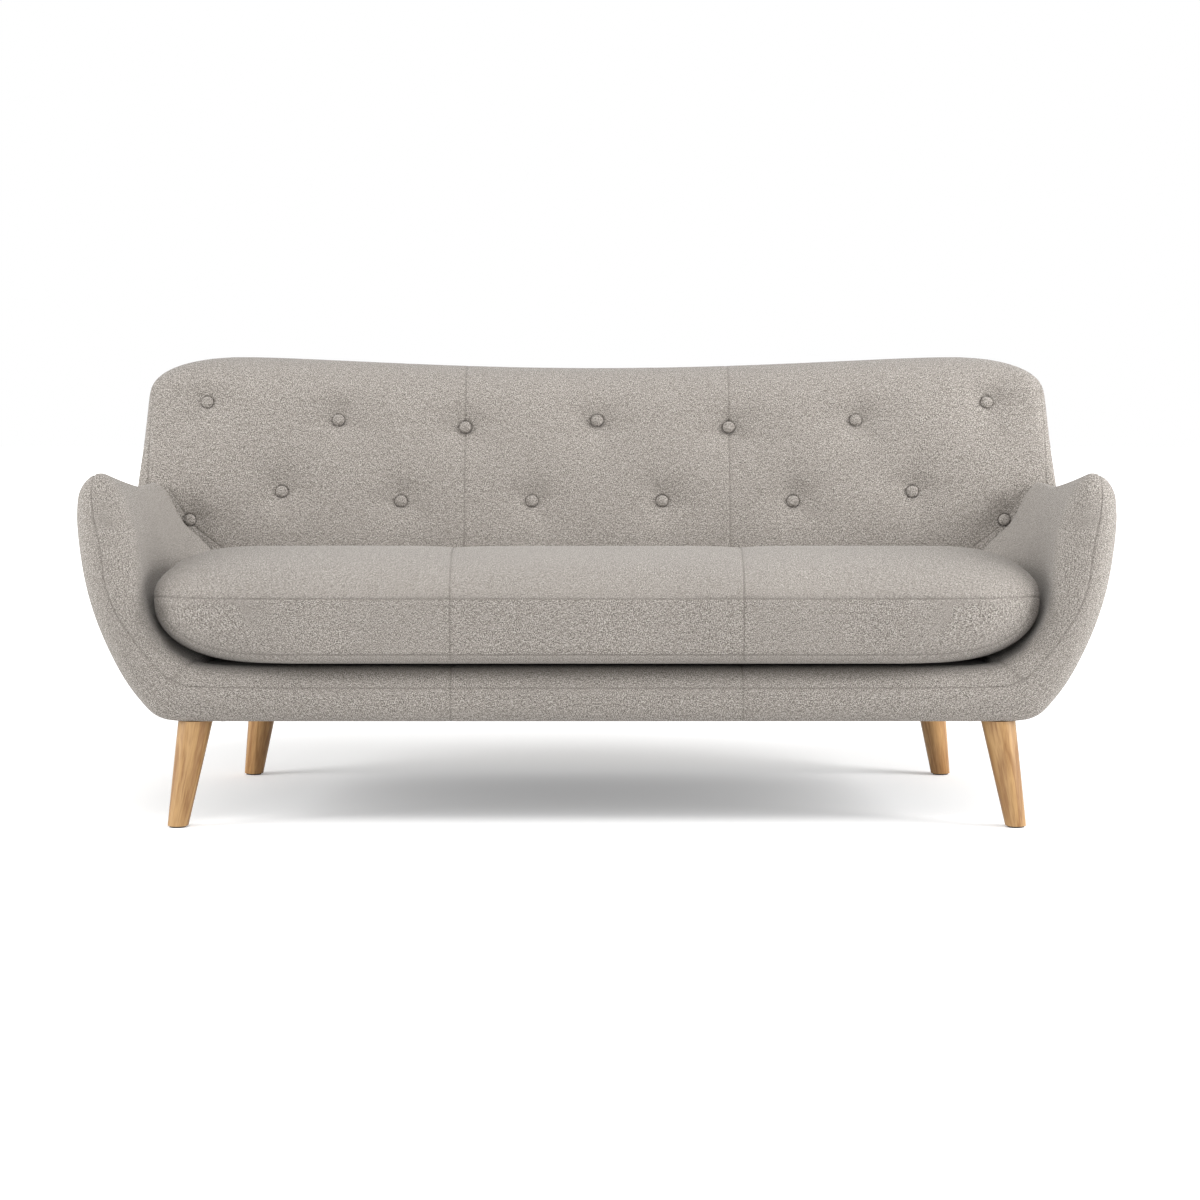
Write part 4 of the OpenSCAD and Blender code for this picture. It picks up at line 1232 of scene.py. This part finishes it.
def plywood():
    """Birch ply: a pale face, and bands of alternate layers from front to back."""
    made, shader = wood(
        "plywood", (0.72, 0.57, 0.38), (0.58, 0.43, 0.26), blank_middle, along_x, strength=0.7,
        roughness=0.8, seed=2.0)
    tree = made.node_tree
    plies = signal(
        tree, "TexWave", object_place(tree), bands_direction="Y", Scale=350 / full_turn,
        Distortion=0.4)
    bands = ramp(tree, plies, (0.45, 0.86), (0.55, 1.0))
    face = shader.inputs["Base Color"].links[0].from_socket
    dress(tree, shader, blend_colours(tree, "MULTIPLY", 0.55, face, bands))
    return made


ply = plywood()
for node_name in (
    "back_top_rail", "back_lumbar_rail", "back_wing_left", "back_wing_right",
    "arm_frame_left", "arm_frame_right",
):
    show_as(node_name, ply)

# ------------------------------------------------------------------ springs and webbing
# Nine sinuous springs of oiled wire run from front rail to rear rail in steel clips, and six
# bands of elastic webbing cross the back behind its foam.

spring_steel = metal("spring_steel", (0.34, 0.34, 0.35), 0.42, 420.0)
for node_name in ("seat_springs", "spring_clips"):
    show_as(node_name, spring_steel)

webbing, tree, shader = plain_material("webbing", 0.85)
ribs = signal(
    tree, "TexWave", object_place(tree), bands_direction="Z", Scale=2200 / full_turn,
    Distortion=0.3)
rib_tint = ramp(tree, ribs, (0.2, (0.020, 0.020, 0.022)), (0.8, (0.055, 0.055, 0.058)))
dress(tree, shader, rib_tint, ribs, 0.6, 0.0005)
show_as("back_webbing", webbing)

# ------------------------------------------------------------------ dust cover
# Thin black non-woven lining, cut 1.49 by 0.66 m, is stapled under the rails over the cover's
# edges. It is cut away round the legs and their plates, and sags a little between fixings.

lining_box, plates_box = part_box("dust_cover"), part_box("leg_plates")
lining_front, lining_rear = lining_box[0][1], lining_box[1][1]
lining_z = body_base - 0.0002
lining_columns, lining_rows = 56, 24
plate_cut = 2 * 0.038 + 0.001                # a plate's width and a little more
rear_shift = 0.0664                          # the rear plates are this much nearer the middle
side_rail_end = 0.2294                       # the rear rail lies behind it
rear_rail_y = 0.243                          # its middle
front_opening = (plates_box[1][0] - plate_cut, plates_box[0][1] + plate_cut)
rear_opening = (
    front_opening[0] - rear_shift, plates_box[1][1] - plate_cut, plates_box[1][1] + 0.019)


def lining_half(y):
    return side_rail_face(min(y, side_rail_end)) + 0.003


def lining_point(i, j):
    y = mix(lining_front, lining_rear, j / lining_rows)
    half = lining_half(y)
    x = half * (2 * i / lining_columns - 1)
    to_rail = min(abs(y - lining_front), abs(y - rear_rail_y), abs(abs(x) - seam_x), half - abs(x))
    sag = 0.0028 * ease(to_rail / 0.11)
    crease = 0.0003 * noise.noise(Vector((x * 14, y * 14, 2)))
    return Vector((x, y, lining_z - sag - abs(crease)))


def in_opening(co):
    x, y = abs(co.x), co.y
    at_front = x > front_opening[0] and y < front_opening[1]
    return at_front or (x > rear_opening[0] and rear_opening[1] < y < rear_opening[2])


bm = bmesh.new()
bent_grid(bm, lining_columns, lining_rows, lining_point)
cuts = [((x, 0, 0), (1, 0, 0)) for edge in (front_opening[0], rear_opening[0]) for x in (edge, -edge)]
cuts += [((0, y, 0), (0, 1, 0)) for y in (front_opening[1], *rear_opening[1:])]
for place, direction in cuts:
    bmesh.ops.bisect_plane(
        bm, geom=bm.verts[:] + bm.edges[:] + bm.faces[:], plane_co=place, plane_no=direction)
bmesh.ops.delete(bm, geom=[f for f in bm.faces if in_opening(f.calc_center_median())], context="FACES")
lining_area = sum(f.calc_area() for f in bm.faces)
bmesh.ops.solidify(bm, geom=bm.faces[:], thickness=0.0006)
face_outwards(bm)
lining = new_piece("dust_lining", bm)
lining.data.materials.append(plain_cloth("lining_cloth", (0.028, 0.028, 0.032), 1500))
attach(lining, "frame")
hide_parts("dust_cover")

# ------------------------------------------------------------------ floor, backdrop and lamps
# A pale seamless floor under soft studio light: an even sky, a wide lamp overhead, a weak one
# in front and one at each side. The floor fades to white away from the sofa.

world = bpy.data.worlds.new("studio")
scene.world = world
world.use_nodes = True
sky = world.node_tree
soft_light = sky.nodes["Background"]
soft_light.inputs["Color"].default_value = (1, 0.995, 0.985, 1)
soft_light.inputs["Strength"].default_value = 0.60
white = signal(sky, "Background", (1, 1, 1, 1), 1.0)     # seen by the three kinds of ray below
seen = node(sky, "LightPath").outputs
shown = seen["Is Camera Ray"]
for ray in ("Is Glossy Ray", "Is Transmission Ray"):
    shown = signal(sky, "Math", shown, seen[ray], operation="MAXIMUM")
which = signal(sky, "MixShader", shown, soft_light.outputs[0], white)
sky.links.new(which, sky.nodes["World Output"].inputs[0])


def lamp(name, place, aim, size, power):
    light = bpy.data.lights.new(name, "AREA")
    light.shape = "RECTANGLE"
    light.size, light.size_y = size
    light.energy = power
    made = bpy.data.objects.new(name, light)
    made.location = place
    made.rotation_euler = (Vector(aim) - Vector(place)).to_track_quat("-Z", "Y").to_euler()
    scene.collection.objects.link(made)


lamp("overhead_lamp", (0.2, -1.3, 3.4), (0, -0.1, 0.3), (3.4, 2.2), 54)
lamp("front_lamp", (-1.2, -4.2, 1.4), (0, 0, 0.40), (2.4, 1.6), 33)
lamp("left_lamp", (-3.3, -0.9, 1.5), (0, 0, 0.4), (1.6, 1.6), 61)
lamp("right_lamp", (3.3, -0.9, 1.5), (0, 0, 0.4), (1.6, 1.6), 105)

bm = bmesh.new()
bmesh.ops.create_grid(bm, x_segments=2, y_segments=2, size=14)
floor = new_piece("floor", bm)
floor_paint, tree, shader = plain_material(
    "floor_paint", 1.0, Specular_IOR_Level=0.0, Base_Color=(0.80, 0.80, 0.80, 1))
away = node(tree, "VectorMath", object_place(tree), operation="LENGTH").outputs["Value"]
glow = signal(tree, "MapRange", away, 1.0, 3.5, 0.20, 1.0)       # dim near the sofa, white far off
glowing = signal(tree, "Emission", (1, 1, 1, 1), glow)
bright = signal(tree, "BsdfDiffuse", Color=(1, 1, 1, 1))
lit = signal(tree, "AddShader", bright, glowing)
to_camera = node(tree, "LightPath").outputs["Is Camera Ray"]
shown = signal(tree, "MixShader", to_camera, shader.outputs[0], lit)
tree.links.new(shown, tree.nodes["Material Output"].inputs[0])
floor.data.materials.append(floor_paint)
